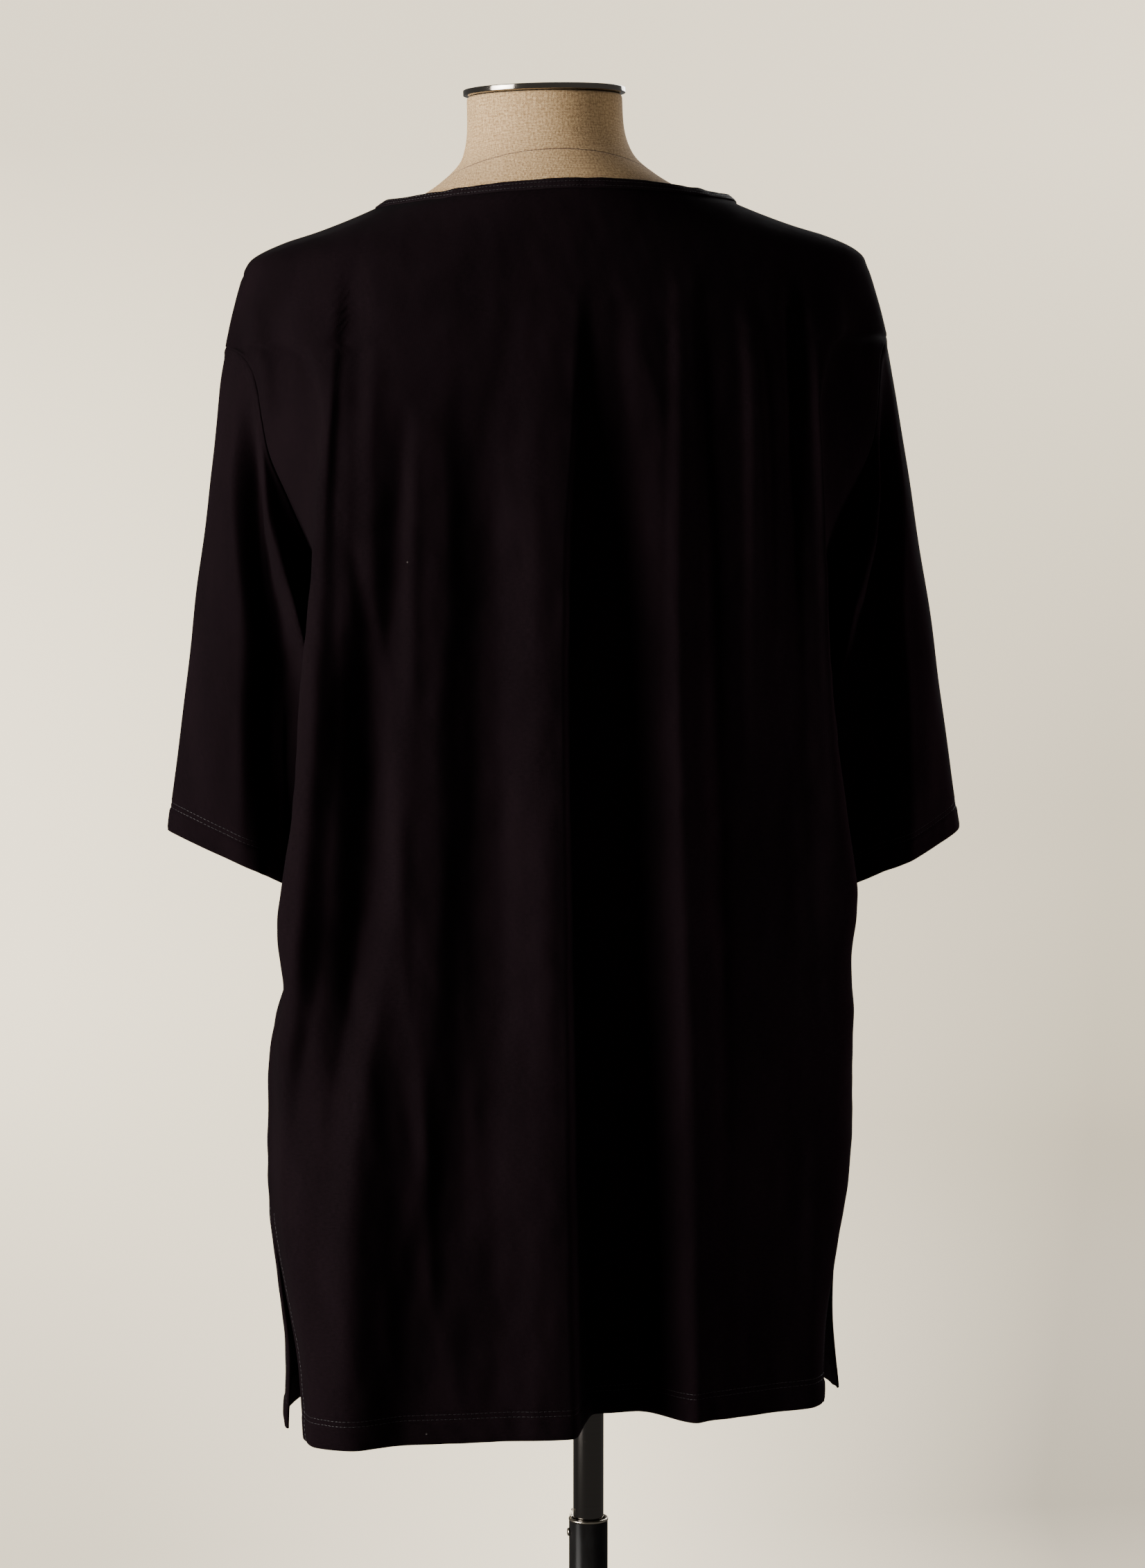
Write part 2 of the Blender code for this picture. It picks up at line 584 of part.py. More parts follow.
def wall_faces(outer, closed_columns):
    """Faces of a closed wall: outer grid first, then the inner grid, then the rims between them.

    Every cell of the outer grid is cut along its shorter diagonal, and the inner cell likewise.
    """
    rows, columns = outer.shape[:2]
    faces = []
    inner = rows * columns
    last = columns if closed_columns else columns - 1
    for r in range(rows - 1):
        for c in range(last):
            d = (c + 1) % columns
            corners = [r * columns + c, r * columns + d, (r + 1) * columns + d, (r + 1) * columns + c]
            rising = np.linalg.norm(outer[r + 1, d] - outer[r, c])
            falling = np.linalg.norm(outer[r + 1, c] - outer[r, d])
            if falling < rising:
                corners = corners[1:] + corners[:1]
            i, j, k, m = corners
            faces += [(i, j, k), (i, k, m), (inner + k, inner + j, inner + i), (inner + m, inner + k, inner + i)]
    top = (rows - 1) * columns
    for c in range(last):
        d = (c + 1) % columns
        faces.append((inner + c, inner + d, d, c))
        faces.append((top + c, top + d, inner + top + d, inner + top + c))
    if not closed_columns:
        for r in range(rows - 1):
            low, high = r * columns, (r + 1) * columns
            faces.append((low, high, inner + high, inner + low))
            low, high = low + columns - 1, high + columns - 1
            faces.append((inner + low, inner + high, high, low))
    return faces


def add_wall(name, outer, normals, wall, material, closed_columns=False):
    """A cloth wall whose outer face is a grid of points and whose inner face is moved in by wall."""
    inner = outer - normals * wall
    points = np.concatenate([outer.reshape(-1, 3), inner.reshape(-1, 3)])
    return add_mesh(name, points, wall_faces(outer, closed_columns), material)


def add_turned(name, profile, centre, material, segments=ROUND_SEGMENTS):
    """A solid of revolution: the closed profile (radius, z) runs up its outside and down its inside.

    A profile point on the axis becomes one pole.
    """
    points, rings = [], []
    for radius, z in profile:
        if radius == 0.0:
            rings.append([len(points)])
            points.append((centre[0], centre[1], centre[2] + z))
            continue
        ring = []
        for step in range(segments):
            turn = 2 * math.pi * step / segments
            ring.append(len(points))
            points.append((centre[0] + radius * math.cos(turn), centre[1] + radius * math.sin(turn),
                           centre[2] + z))
        rings.append(ring)
    closed = profile[0][0] > 0.0
    faces = []
    pairs = list(zip(rings, rings[1:] + rings[:1])) if closed else list(zip(rings, rings[1:]))
    for low, high in pairs:
        for step in range(segments):
            after = (step + 1) % segments
            if len(low) == 1:
                faces.append((low[0], high[after], high[step]))
            elif len(high) == 1:
                faces.append((low[step], low[after], high[0]))
            else:
                faces.append((low[step], low[after], high[after], high[step]))
    return add_mesh(name, points, faces, material)


# ---------------------------------------------------------------- the pieces of the tunic
def panel_grid(face):
    across = even_columns(face, PANEL_COLUMNS)
    levels = panel_levels()
    grid_across, grid_levels = np.meshgrid(across, levels)
    heights = panel_heights(face, grid_across, grid_levels)
    return panel_point(face, grid_across, heights)


def make_panel(face, material):
    """Front or back: rows from the hem up, columns from one side edge to the other.

    Walls that meet at a side seam or shoulder seam keep to their own side of it.
    """
    grid = panel_grid(face)
    if face == "back":
        grid = grid[:, ::-1]
    reach = np.abs(grid[..., 0] - MIDDLE_X)
    level = grid[..., 2]
    grid = lean(grid)
    normals = grid_normals(grid, closed_columns=False)
    seam = np.zeros(grid.shape[:2], dtype=bool)
    seam[:, 0] = seam[:, -1] = True
    seam &= (level <= UNDERARM_Z) | (level >= ARMHOLE_TOP_Z)
    seam[-1] |= reach[-1] > NECK_POINT[0] - 1e-6
    normals[seam, 1] = 0.0
    normals /= np.linalg.norm(normals, axis=-1, keepdims=True)
    return add_wall(face + "_panel", grid, normals, CLOTH_WALL, material)


def armhole_loop():
    """The armhole's points from the top down the back to the underarm and up the front again."""
    down = ARMHOLE.where[::-1]
    back = np.stack([ARMHOLE.at("x", down), ARMHOLE.at("depth", down), down], axis=-1)
    front = back[-2:0:-1] * np.array([1.0, -1.0, 1.0])
    return np.concatenate([back, front])


def loop_turns(loop):
    """Turn of each loop point round the sleeve: 0 at the top, half a turn at the underarm."""
    step = np.linalg.norm(np.roll(loop, -1, axis=0) - loop, axis=1)
    return np.concatenate([[0.0], np.cumsum(step)[:-1]]) / step.sum() * 2 * math.pi


def sleeve_point(along, turn):
    """A sleeve's outer face without its folds, with x as the distance from the middle.

    Rings turn from the armhole, through rounder rings, to the sloping cuff.
    """
    top_x, top_z = SLEEVE.at("top_x", along), SLEEVE.at("top_z", along)
    under_x, under_z = SLEEVE.at("under_x", along), SLEEVE.at("under_z", along)
    square = SLEEVE.at("square", along)
    up = np.sign(np.cos(turn)) * np.abs(np.cos(turn)) ** (2 / square)
    back = np.sign(np.sin(turn)) * np.abs(np.sin(turn)) ** (2 / square)
    x = (top_x + under_x) / 2 + up * (top_x - under_x) / 2
    z = (top_z + under_z) / 2 + up * (top_z - under_z) / 2
    return np.stack([x, back * SLEEVE.at("half_depth", along), z], axis=-1)


def sleeve_fold_depth(along, turn):
    total = np.zeros_like(turn)
    degrees = np.degrees(turn)
    for rows in SLEEVE_FOLDS.values():
        fold = Table(SLEEVE_FOLD_COLUMNS, rows)
        width = fold.at("half_width", along)
        offset = degrees - fold.at("turn", along)
        total += fold.at("depth", along) * fold_profile(offset, width, width)
    return total


def make_sleeve(name, side, material):
    """side is 1 for the wearer's left and -1 for the right."""
    loop = armhole_loop()
    along = np.array([0.0, 0.05, 0.12, 0.20, 0.30, 0.40, 0.50, 0.60, 0.70, 0.80, 0.90, 1.0])
    grid_turn, grid_along = np.meshgrid(loop_turns(loop), along)
    grid = sleeve_point(grid_along, grid_turn)
    start = loop - grid[0]
    grid = grid + start[None] * (1.0 - smoothstep(grid_along / 0.3))[..., None]
    outward = -grid_normals(grid, closed_columns=True)
    fold = sleeve_fold_depth(grid_along, grid_turn) * smoothstep(grid_along / 0.18)
    grid = grid + outward * fold[..., None]
    onward = grid[1] - grid[0]
    grid[0] = loop + onward / np.linalg.norm(onward, axis=-1, keepdims=True) * SEAM_GAP * 2
    outer_lift, inner_lift = CUFF_LIFT[name]
    grid[..., 2] += blend(inner_lift, outer_lift, (1.0 + np.cos(grid_turn)) / 2) * grid_along
    if side > 0:
        grid = grid[:, ::-1]
    grid = grid * np.array([side, 1.0, 1.0])
    grid = lean(grid + np.array([MIDDLE_X, 0.0, 0.0]))
    return add_wall(name, grid, grid_normals(grid, closed_columns=True), CLOTH_WALL, material,
                    closed_columns=True)


def neck_loop():
    """Points of both necklines, and the direction in which the binding carries the panels on."""
    edges, outs = [], []
    for face in ("back", "front"):
        grid = panel_grid(face)
        normal = grid_normals(grid, closed_columns=False)[-1] * (-1.0 if face == "back" else 1.0)
        inside = np.abs(grid[-1, :, 0] - MIDDLE_X) < NECK_POINT[0] + 1e-6
        order = slice(None) if face == "back" else slice(None, None, -1)
        edges.append(grid[-1, inside][order])
        outs.append(normal[inside][order])
    tips = [(edges[0][-1] + edges[1][0]) / 2, (edges[1][-1] + edges[0][0]) / 2]
    tip_outs = [outs[0][-1] + outs[1][0], outs[1][-1] + outs[0][0]]
    loop = np.concatenate([edges[0][1:-1], tips[:1], edges[1][1:-1], tips[1:]])
    out = np.concatenate([outs[0][1:-1], tip_outs[:1], outs[1][1:-1], tip_outs[1:]])
    tangent = np.roll(loop, -1, axis=0) - np.roll(loop, 1, axis=0)
    carry = np.cross(tangent, out)
    carry /= np.linalg.norm(carry, axis=-1, keepdims=True)
    return loop, carry, tangent / np.linalg.norm(tangent, axis=-1, keepdims=True)


def make_binding(material):
    """The folded strip round the neck: it stands on the panels' top edges and is a little thicker."""
    loop, carry, tangent = neck_loop()
    out = np.cross(carry, tangent)
    out /= np.linalg.norm(out, axis=-1, keepdims=True)
    proud = (BINDING_WALL - CLOTH_WALL) / 2
    heights = np.array([2 * SEAM_GAP, SEAM_GAP + BINDING_WIDTH / 2, SEAM_GAP + BINDING_WIDTH])
    grid = loop[None] + carry[None] * heights[:, None, None] + out[None] * proud
    normals = np.repeat(out[None], len(heights), axis=0)
    return add_wall("neck_binding", lean(grid)[:, ::-1], normals[:, ::-1], BINDING_WALL, material,
                    closed_columns=True)


# ---------------------------------------------------------------- the form and its stand
def form_ring(z, turn):
    half_width = FORM.at("half_width", z)
    back_y, front_y = FORM.at("back_y", z), FORM.at("front_y", z)
    square = FORM.at("square", z)
    middle_y = (back_y + front_y) / 2 * smoothstep((z - 1.38) / 0.06)
    across = np.sign(np.cos(turn)) * np.abs(np.cos(turn)) ** (2 / square)
    behind = np.sign(np.sin(turn)) * np.abs(np.sin(turn)) ** (2 / square)
    reach = np.where(behind > 0, back_y - middle_y, middle_y - front_y)
    shift = NECK_SHIFT_X * smoothstep((z - 1.38) / 0.06)
    return np.stack([MIDDLE_X + shift + across * half_width, middle_y + behind * reach, z], axis=-1)


def make_torso(material):
    """The linen torso, smooth from the hips over the shoulders to the neck, closed at both ends."""
    heights = np.concatenate([np.linspace(FORM_BOTTOM_Z, 1.31, 12), FORM.where[FORM.where > 1.311]])
    turn = np.linspace(0.0, 2 * math.pi, FORM_COLUMNS + 1)[:-1]
    grid_turn, grid_z = np.meshgrid(turn, heights)
    grid = lean(form_ring(grid_z, grid_turn))
    rows, columns = grid.shape[:2]
    points = list(grid.reshape(-1, 3)) + [grid[0].mean(axis=0), grid[-1].mean(axis=0)]
    foot, head = rows * columns, rows * columns + 1
    faces = []
    for r in range(rows - 1):
        for c in range(columns):
            d = (c + 1) % columns
            faces.append((r * columns + c, r * columns + d, (r + 1) * columns + d, (r + 1) * columns + c))
    for c in range(columns):
        d = (c + 1) % columns
        faces.append((d, c, foot))
        faces.append(((rows - 1) * columns + c, (rows - 1) * columns + d, head))
    return add_mesh("form_torso", points, faces, material)


def make_cap(material):
    """The steel lid on the neck, with a rounded rim, square to the leaning neck."""
    edge = 0.0009
    lift = SEAM_GAP
    profile = [
        (0.0, lift), (CAP_RADIUS - edge, lift), (CAP_RADIUS, lift + edge),
        (CAP_RADIUS, lift + CAP_HEIGHT - edge), (CAP_RADIUS - edge, lift + CAP_HEIGHT),
        (CAP_RADIUS - 0.006, lift + CAP_HEIGHT), (0.0, lift + CAP_HEIGHT),
    ]
    top = form_ring(np.array([NECK_TOP_Z, NECK_TOP_Z]), np.array([math.pi / 2, -math.pi / 2])).mean(axis=0)
    cap = add_turned("form_neck_cap", profile, (0.0, 0.0, 0.0), material, segments=56)
    cap.rotation_euler = (0.0, LEAN, 0.0)
    cap.location = lean(top)
    return cap


def make_socket(material):
    """Flange and boss under the torso; the upper tube ends in the boss."""
    flange_top = -SEAM_GAP - SOCKET_FLANGE_RADIUS * math.sin(LEAN)
    flange_bottom = flange_top - SOCKET_FLANGE_HEIGHT
    boss_bottom = flange_bottom - SOCKET_DEPTH
    bore = UPPER_TUBE_RADIUS + 0.0004
    profile = [
        (0.0, flange_bottom), (bore, flange_bottom), (bore, boss_bottom), (SOCKET_BOSS_RADIUS, boss_bottom),
        (SOCKET_BOSS_RADIUS, flange_bottom), (SOCKET_FLANGE_RADIUS, flange_bottom),
        (SOCKET_FLANGE_RADIUS, flange_top), (0.0, flange_top),
    ]
    return add_turned("form_socket", profile, (0.0, 0.0, FORM_BOTTOM_Z), material)


def make_upper_tube(material):
    top = FORM_BOTTOM_Z - 0.0016 - SOCKET_FLANGE_HEIGHT - SEAM_GAP
    profile = [
        (UPPER_TUBE_RADIUS, UPPER_TUBE_BOTTOM_Z), (UPPER_TUBE_RADIUS, top),
        (UPPER_TUBE_BORE, top), (UPPER_TUBE_BORE, UPPER_TUBE_BOTTOM_Z),
    ]
    return add_turned("pole_upper", profile, (0.0, 0.0, 0.0), material)


def make_lower_tube(material):
    """The outer tube stands in the base plate's boss."""
    bottom = BASE_HEIGHT + SEAM_GAP
    profile = [
        (LOWER_TUBE_RADIUS, bottom), (LOWER_TUBE_RADIUS, LOWER_TUBE_TOP_Z),
        (LOWER_TUBE_BORE, LOWER_TUBE_TOP_Z), (LOWER_TUBE_BORE, bottom),
    ]
    return add_turned("pole_lower", profile, (0.0, 0.0, 0.0), material)


def make_rim(material):
    """The bare metal ring on the outer tube's mouth, a little wider than the tube."""
    low = LOWER_TUBE_TOP_Z + SEAM_GAP
    outside = LOWER_TUBE_RADIUS + 0.0003
    profile = [
        (outside, low), (outside, low + RIM_HEIGHT * 0.6), (outside - 0.0006, low + RIM_HEIGHT),
        (LOWER_TUBE_BORE + 0.0003, low + RIM_HEIGHT), (LOWER_TUBE_BORE, low + RIM_HEIGHT * 0.6),
        (LOWER_TUBE_BORE, low),
    ]
    return add_turned("pole_rim", profile, (0.0, 0.0, 0.0), material)


def make_button(material):
    """The domed head of the snap button on the outer tube's left side."""
    profile = [(0.0, 0.0), (0.0029, 0.0), (0.0029, 0.0004), (0.0020, 0.0011), (0.0, 0.0014)]
    button = add_turned("height_button", profile, (0.0, 0.0, 0.0), material, segments=20)
    button.rotation_euler = (0.0, math.pi / 2, 0.0)
    button.location = (LOWER_TUBE_RADIUS + SEAM_GAP, 0.0, BUTTON_Z)
    return button


def make_clip(material):
    """The bent end of the spring wire that shows above the rim, beside the upper tube."""
    foot = LOWER_TUBE_TOP_Z + SEAM_GAP + RIM_HEIGHT
    radius = 0.00035
    path = np.array([(0.0131, -0.0013, 0.0003), (0.0130, -0.0013, 0.0030), (0.0119, -0.0010, 0.0060),
                     (0.0119, 0.0, 0.0070), (0.0119, 0.0010, 0.0060), (0.0130, 0.0013, 0.0030),
                     (0.0131, 0.0013, 0.0003)])
    path[:, 2] += foot
    along = np.gradient(path, axis=0)
    along /= np.linalg.norm(along, axis=-1, keepdims=True)
    beside = np.array([1.0, 0.0, 0.0])
    across = np.cross(along, beside)
    across /= np.linalg.norm(across, axis=-1, keepdims=True)
    upright = np.cross(across, along)
    sides = 8
    turn = 2 * math.pi * np.arange(sides) / sides
    rings = (path[:, None] + radius * (np.cos(turn)[None, :, None] * upright[:, None]
                                       + np.sin(turn)[None, :, None] * across[:, None]))
    points = rings.reshape(-1, 3)
    faces = [tuple(range(sides - 1, -1, -1)), tuple(range(len(points) - sides, len(points)))]
    for r in range(len(path) - 1):
        for c in range(sides):
            d = (c + 1) % sides
            faces.append((r * sides + c, r * sides + d, (r + 1) * sides + d, (r + 1) * sides + c))
    return add_mesh("spring_clip", points, faces, material)


def make_base(material):
    """A round flat plate with a boss inside the outer tube; it lies outside the picture."""
    edge = 0.0025
    boss = LOWER_TUBE_BORE - 0.0004
    profile = [
        (0.0, 0.0), (BASE_RADIUS, 0.0), (BASE_RADIUS, BASE_HEIGHT - edge),
        (BASE_RADIUS - edge, BASE_HEIGHT), (boss, BASE_HEIGHT), (boss, BASE_HEIGHT + 0.030),
        (0.0, BASE_HEIGHT + 0.030),
    ]
    return add_turned("base_plate", profile, (0.0, 0.0, 0.0), material, segments=56)


def main():
    for old in list(bpy.data.objects):
        bpy.data.objects.remove(old, do_unlink=True)
    jersey = new_material("black_jersey", (0.006, 0.005, 0.0055), 0.85)
    binding = new_material("binding_jersey", (0.007, 0.006, 0.0065), 0.8)
    linen = new_material("linen", (0.42, 0.33, 0.23), 0.9)
    steel = new_material("neck_cap_steel", (0.55, 0.54, 0.52), 0.25, 1.0)
    gunmetal = new_material("upper_tube_steel", (0.06, 0.055, 0.05), 0.35, 1.0)
    black_paint = new_material("black_paint", (0.008, 0.008, 0.008), 0.35)
    bare_steel = new_material("bare_steel", (0.6, 0.57, 0.5), 0.3, 1.0)

    make_panel("back", jersey)
    make_panel("front", jersey)
    make_sleeve("sleeve_left", 1, jersey)
    make_sleeve("sleeve_right", -1, jersey)
    make_binding(binding)
    make_torso(linen)
    make_cap(steel)
    make_socket(gunmetal)
    make_upper_tube(gunmetal)
    make_lower_tube(black_paint)
    make_rim(bare_steel)
    make_button(bare_steel)
    make_clip(bare_steel)
    make_base(black_paint)


main()
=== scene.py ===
# Elbow-sleeved jersey tunic on a linen dress form: surfaces, stitching, finishes, light and camera.
# Metres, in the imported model's frame: the wearer's left is +X, the back faces +Y.
import math

import bpy
import numpy as np
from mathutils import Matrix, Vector


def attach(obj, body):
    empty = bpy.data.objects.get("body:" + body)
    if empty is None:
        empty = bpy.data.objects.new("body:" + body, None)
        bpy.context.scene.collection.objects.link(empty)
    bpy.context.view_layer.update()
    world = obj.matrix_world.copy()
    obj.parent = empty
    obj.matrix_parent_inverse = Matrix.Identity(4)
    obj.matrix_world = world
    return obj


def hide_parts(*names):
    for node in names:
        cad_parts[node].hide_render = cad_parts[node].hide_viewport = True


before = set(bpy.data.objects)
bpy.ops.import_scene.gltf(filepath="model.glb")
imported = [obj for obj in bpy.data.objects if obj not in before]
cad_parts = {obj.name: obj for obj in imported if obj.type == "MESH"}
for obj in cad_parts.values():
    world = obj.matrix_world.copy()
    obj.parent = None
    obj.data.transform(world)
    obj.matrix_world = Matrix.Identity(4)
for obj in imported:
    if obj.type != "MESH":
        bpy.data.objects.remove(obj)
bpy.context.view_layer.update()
print("frame loaded")


# Small tools.
class Rows:
    # Named columns over rising rows, read between the rows by a cubic that never overshoots them.
    def __init__(self, names, rows):
        ordered = sorted(rows)
        self.columns = {name: np.array([row[i] for row in ordered]) for i, name in enumerate(names)}
        self.where = self.columns[names[0]]

    def at(self, name, where):
        x, y = self.where, self.columns[name]
        step = np.diff(x)
        rise = np.diff(y) / step
        slope = np.zeros_like(y)
        slope[1:-1] = np.where(rise[1:] * rise[:-1] > 0, 0.5 * (rise[1:] + rise[:-1]), 0.0)
        limit = 3.0 * np.minimum(np.abs(rise[1:]), np.abs(rise[:-1]))
        slope[1:-1] = np.clip(slope[1:-1], -limit, limit)
        slope[0], slope[-1] = rise[0], rise[-1]
        where = np.clip(where, x[0], x[-1])
        cell = np.clip(np.searchsorted(x, where, side="right") - 1, 0, len(step) - 1)
        u = (where - x[cell]) / step[cell]
        return (y[cell] * (1 - u) ** 2 * (1 + 2 * u) + y[cell + 1] * u ** 2 * (3 - 2 * u)
                + step[cell] * (slope[cell] * u * (1 - u) ** 2 - slope[cell + 1] * u ** 2 * (1 - u)))


def ease(value):  # 0 to 1 with flat ends: 3t^2 - 2t^3
    value = np.clip(value, 0.0, 1.0)
    return value * value * (3.0 - 2.0 * value)


def bell(value):  # e^(-t^2)
    return np.exp(-value * value)


def mix(a, b, share):
    return a + (b - a) * share


def unit(vectors):
    return vectors / np.maximum(np.linalg.norm(vectors, axis=-1, keepdims=True), 1e-12)


def circle(count):  # even turns round a ring, the first not repeated
    return np.linspace(0, 2 * math.pi, count, endpoint=False)


def powered(value, power):  # a power that keeps the sign
    return np.sign(value) * np.abs(value) ** power


def onLine(where, walked, line):
    # The line's three coordinates read at a distance along it.
    return np.stack([np.interp(where, walked, line[:, k]) for k in range(3)], axis=-1)


def comeRound(line, axis=0):
    # The first point once more at the end, so a loop closes.
    return np.concatenate([line, np.take(line, [0], axis=axis)], axis=axis)


def waves(x, y, seed, count, low, high):
    # Soft uneven noise: a sum of sines with random headings, wavelengths from low to high, seeded.
    chance = np.random.default_rng(seed)
    total = np.zeros_like(x)
    for _ in range(count):
        length = chance.uniform(low, high)
        heading = chance.uniform(0, 2 * math.pi)
        total += np.sin((x * math.cos(heading) + y * math.sin(heading)) * 2 * math.pi / length
                        + chance.uniform(0, 2 * math.pi))
    return total / math.sqrt(count)


def gridNormals(points, closed=False):
    # Across rows times up the columns, so it points left of a row as the rows rise.
    if closed:
        along = np.roll(points, -1, axis=1) - np.roll(points, 1, axis=1)
    else:
        along = np.gradient(points, axis=1)
    return unit(np.cross(along, np.gradient(points, axis=0)))


def runLengths(points, axis):
    # Distance along the grid's lines from their first point.
    step = np.linalg.norm(np.diff(points, axis=axis), axis=-1)
    start = np.zeros_like(np.take(step, [0], axis=axis))
    return np.concatenate([start, np.cumsum(step, axis=axis)], axis=axis)


def clothArea(grid):
    # Cross products of the two sides of every cell, added up.
    across, upward = grid[:-1, 1:] - grid[:-1, :-1], grid[1:, :-1] - grid[:-1, :-1]
    return round(float(np.linalg.norm(np.cross(upward, across), axis=-1).sum()), 4)


def fillMesh(name, points, faces, material, uvs=None, smooth=True):
    # faces is one (n, corners) array or a list of them; uvs has a pair for every face corner.
    faces = faces if isinstance(faces, list) else [faces]
    faces = [f for f in faces if len(f)]
    corners = np.concatenate([f.ravel() for f in faces]).astype(np.int32)
    counts = np.concatenate([np.full(len(f), f.shape[1]) for f in faces])
    mesh = bpy.data.meshes.new(name)
    mesh.vertices.add(len(points))
    mesh.vertices.foreach_set("co", np.ascontiguousarray(points, dtype=np.float32).ravel())
    mesh.loops.add(len(corners))
    mesh.loops.foreach_set("vertex_index", corners)
    mesh.polygons.add(len(counts))
    mesh.polygons.foreach_set("loop_start", np.concatenate([[0], np.cumsum(counts)[:-1]]).astype(np.int32))
    mesh.polygons.foreach_set("use_smooth", np.full(len(counts), smooth))
    if uvs is not None:
        layer = mesh.uv_layers.new(name="cloth")
        layer.data.foreach_set("uv", np.ascontiguousarray(uvs, dtype=np.float32).ravel())
    mesh.update(calc_edges=True)
    mesh.validate()
    mesh.materials.append(material)
    piece = bpy.data.objects.new(name, mesh)
    bpy.context.collection.objects.link(piece)
    return piece


def gridFaces(rows, columns, closed, start=0, flip=False):
    r, c = np.meshgrid(np.arange(rows - 1), np.arange(columns if closed else columns - 1), indexing="ij")
    d = (c + 1) % columns
    quad = np.stack([r * columns + c, r * columns + d, (r + 1) * columns + d, (r + 1) * columns + c], axis=-1)
    quad = quad.reshape(-1, 4) + start
    return quad[:, ::-1] if flip else quad


def endFans(rows, columns, foot, head):
    # Triangles from the first row of a closed grid to the point foot, and from its last row to head.
    c = np.arange(columns)
    d = (c + 1) % columns
    last = (rows - 1) * columns
    return np.concatenate([np.stack([d, c, np.full(columns, foot)], axis=-1),
                           np.stack([last + c, last + d, np.full(columns, head)], axis=-1)])


def gridUvs(u, v):
    # Pairs for the corners of gridFaces; on a closed grid u and v have one more column than the points.
    last = u.shape[1] - 1
    pair = np.stack([u, v], axis=-1)
    corner = np.stack([pair[:-1, :last], pair[:-1, 1:], pair[1:, 1:], pair[1:, :last]], axis=2)
    return corner.reshape(-1, 4, 2)


def clothShell(name, outer, thick, u, v, material, closed=False, edgeRound=0.35):
    # A thin wall: the outer grid, the same grid moved in by thick along its normals, and between
    # their edges a strip that is pushed out by edgeRound of the thickness, so the edge looks rolled.
    rows, columns = outer.shape[:2]
    normal = gridNormals(outer, closed)
    thick = np.broadcast_to(thick, (rows, columns))
    inner = outer - normal * thick[..., None]
    count = rows * columns
    if closed:
        loops = [np.arange(columns), (rows - 1) * columns + np.arange(columns)[::-1]]
        aways = [unit(outer[0] - outer[1]), unit(outer[-1] - outer[-2])[::-1]]
    else:
        index = np.arange(count).reshape(rows, columns)
        loops = [np.concatenate([index[0, :-1], index[:-1, -1], index[-1, :0:-1], index[:0:-1, 0]])]
        away = np.zeros_like(outer)
        away[0] += unit(outer[0] - outer[1])
        away[-1] += unit(outer[-1] - outer[-2])
        away[:, 0] += unit(outer[:, 0] - outer[:, 1])
        away[:, -1] += unit(outer[:, -1] - outer[:, -2])
        aways = [unit(away.reshape(-1, 3)[loops[0]])]
    points = [outer.reshape(-1, 3), inner.reshape(-1, 3)]
    faces = [gridFaces(rows, columns, closed), gridFaces(rows, columns, closed, count, flip=True)]
    body = gridUvs(u, v)
    uvs = [body, body[:, ::-1]]
    start = 2 * count
    flatThick = thick.reshape(-1)
    pairs = np.stack([u[:, :columns], v[:, :columns]], axis=-1).reshape(-1, 2)
    for loop, out in zip(loops, aways):
        middle = (points[0][loop] + points[1][loop]) / 2 + out * (flatThick[loop] * edgeRound)[:, None]
        points.append(middle)
        this = start + np.arange(len(loop))
        after = np.roll(this, -1)
        nextLoop = np.roll(loop, -1)
        faces.append(np.stack([nextLoop, loop, this, after], axis=-1))
        faces.append(np.stack([after, this, loop + count, nextLoop + count], axis=-1))
        rim = pairs[loop]
        rimNext = np.roll(rim, -1, axis=0)
        uvs += [np.stack([rimNext, rim, rim, rimNext], axis=1)] * 2
        start += len(loop)
    allFaces = np.concatenate(faces)
    return fillMesh(name, np.concatenate(points), allFaces, material, np.concatenate(uvs))


def turned(name, profile, material, segments=96, centre=(0.0, 0.0, 0.0), tilt=0.0):
    # A profile of (radius, z) pairs turned about the vertical through centre, then leaned by tilt.
    # It runs up the outside; pairs on the axis close the ends, otherwise it closes on itself.
    profile = np.array(profile)
    ends = profile[:, 0] < 1e-9
    turn = circle(segments)
    ring = profile[~ends]
    points = np.stack([ring[:, :1] * np.cos(turn), ring[:, :1] * np.sin(turn),
                       np.repeat(ring[:, 1:], segments, axis=1)], axis=-1).reshape(-1, 3)
    faces = [gridFaces(len(ring), segments, True)]
    if ends.any():
        poles = profile[ends]
        points = np.concatenate([points, [[0, 0, poles[0, 1]], [0, 0, poles[-1, 1]]]])
        faces.append(endFans(len(ring), segments, len(points) - 2, len(points) - 1))
    else:
        c = np.arange(segments)
        d = (c + 1) % segments
        last = (len(ring) - 1) * segments
        faces.append(np.stack([last + c, last + d, d, c], axis=-1))
    x, z = points[:, 0].copy(), points[:, 2].copy()
    points[:, 0] = x * math.cos(tilt) + z * math.sin(tilt)
    points[:, 2] = z * math.cos(tilt) - x * math.sin(tilt)
    return fillMesh(name, points + np.array(centre), faces, material)


def rounded(profile, radius, steps=4):
    # Every corner of a closed or open profile becomes a small arc; radius is the cut on each side.
    profile = np.array(profile, dtype=float)
    made = [profile[0]]
    for before, corner, after in zip(profile[:-2], profile[1:-1], profile[2:]):
        a, b = before - corner, after - corner
        la, lb = np.linalg.norm(a), np.linalg.norm(b)
        cut = min(radius, la * 0.45, lb * 0.45)
        start, end = corner + a / la * cut, corner + b / lb * cut
        t = np.linspace(0, 1, steps + 1)[:, None]
        made.extend((1 - t) ** 2 * start + 2 * t * (1 - t) * corner + t ** 2 * end)
    made.append(profile[-1])
    return [tuple(point) for point in made]


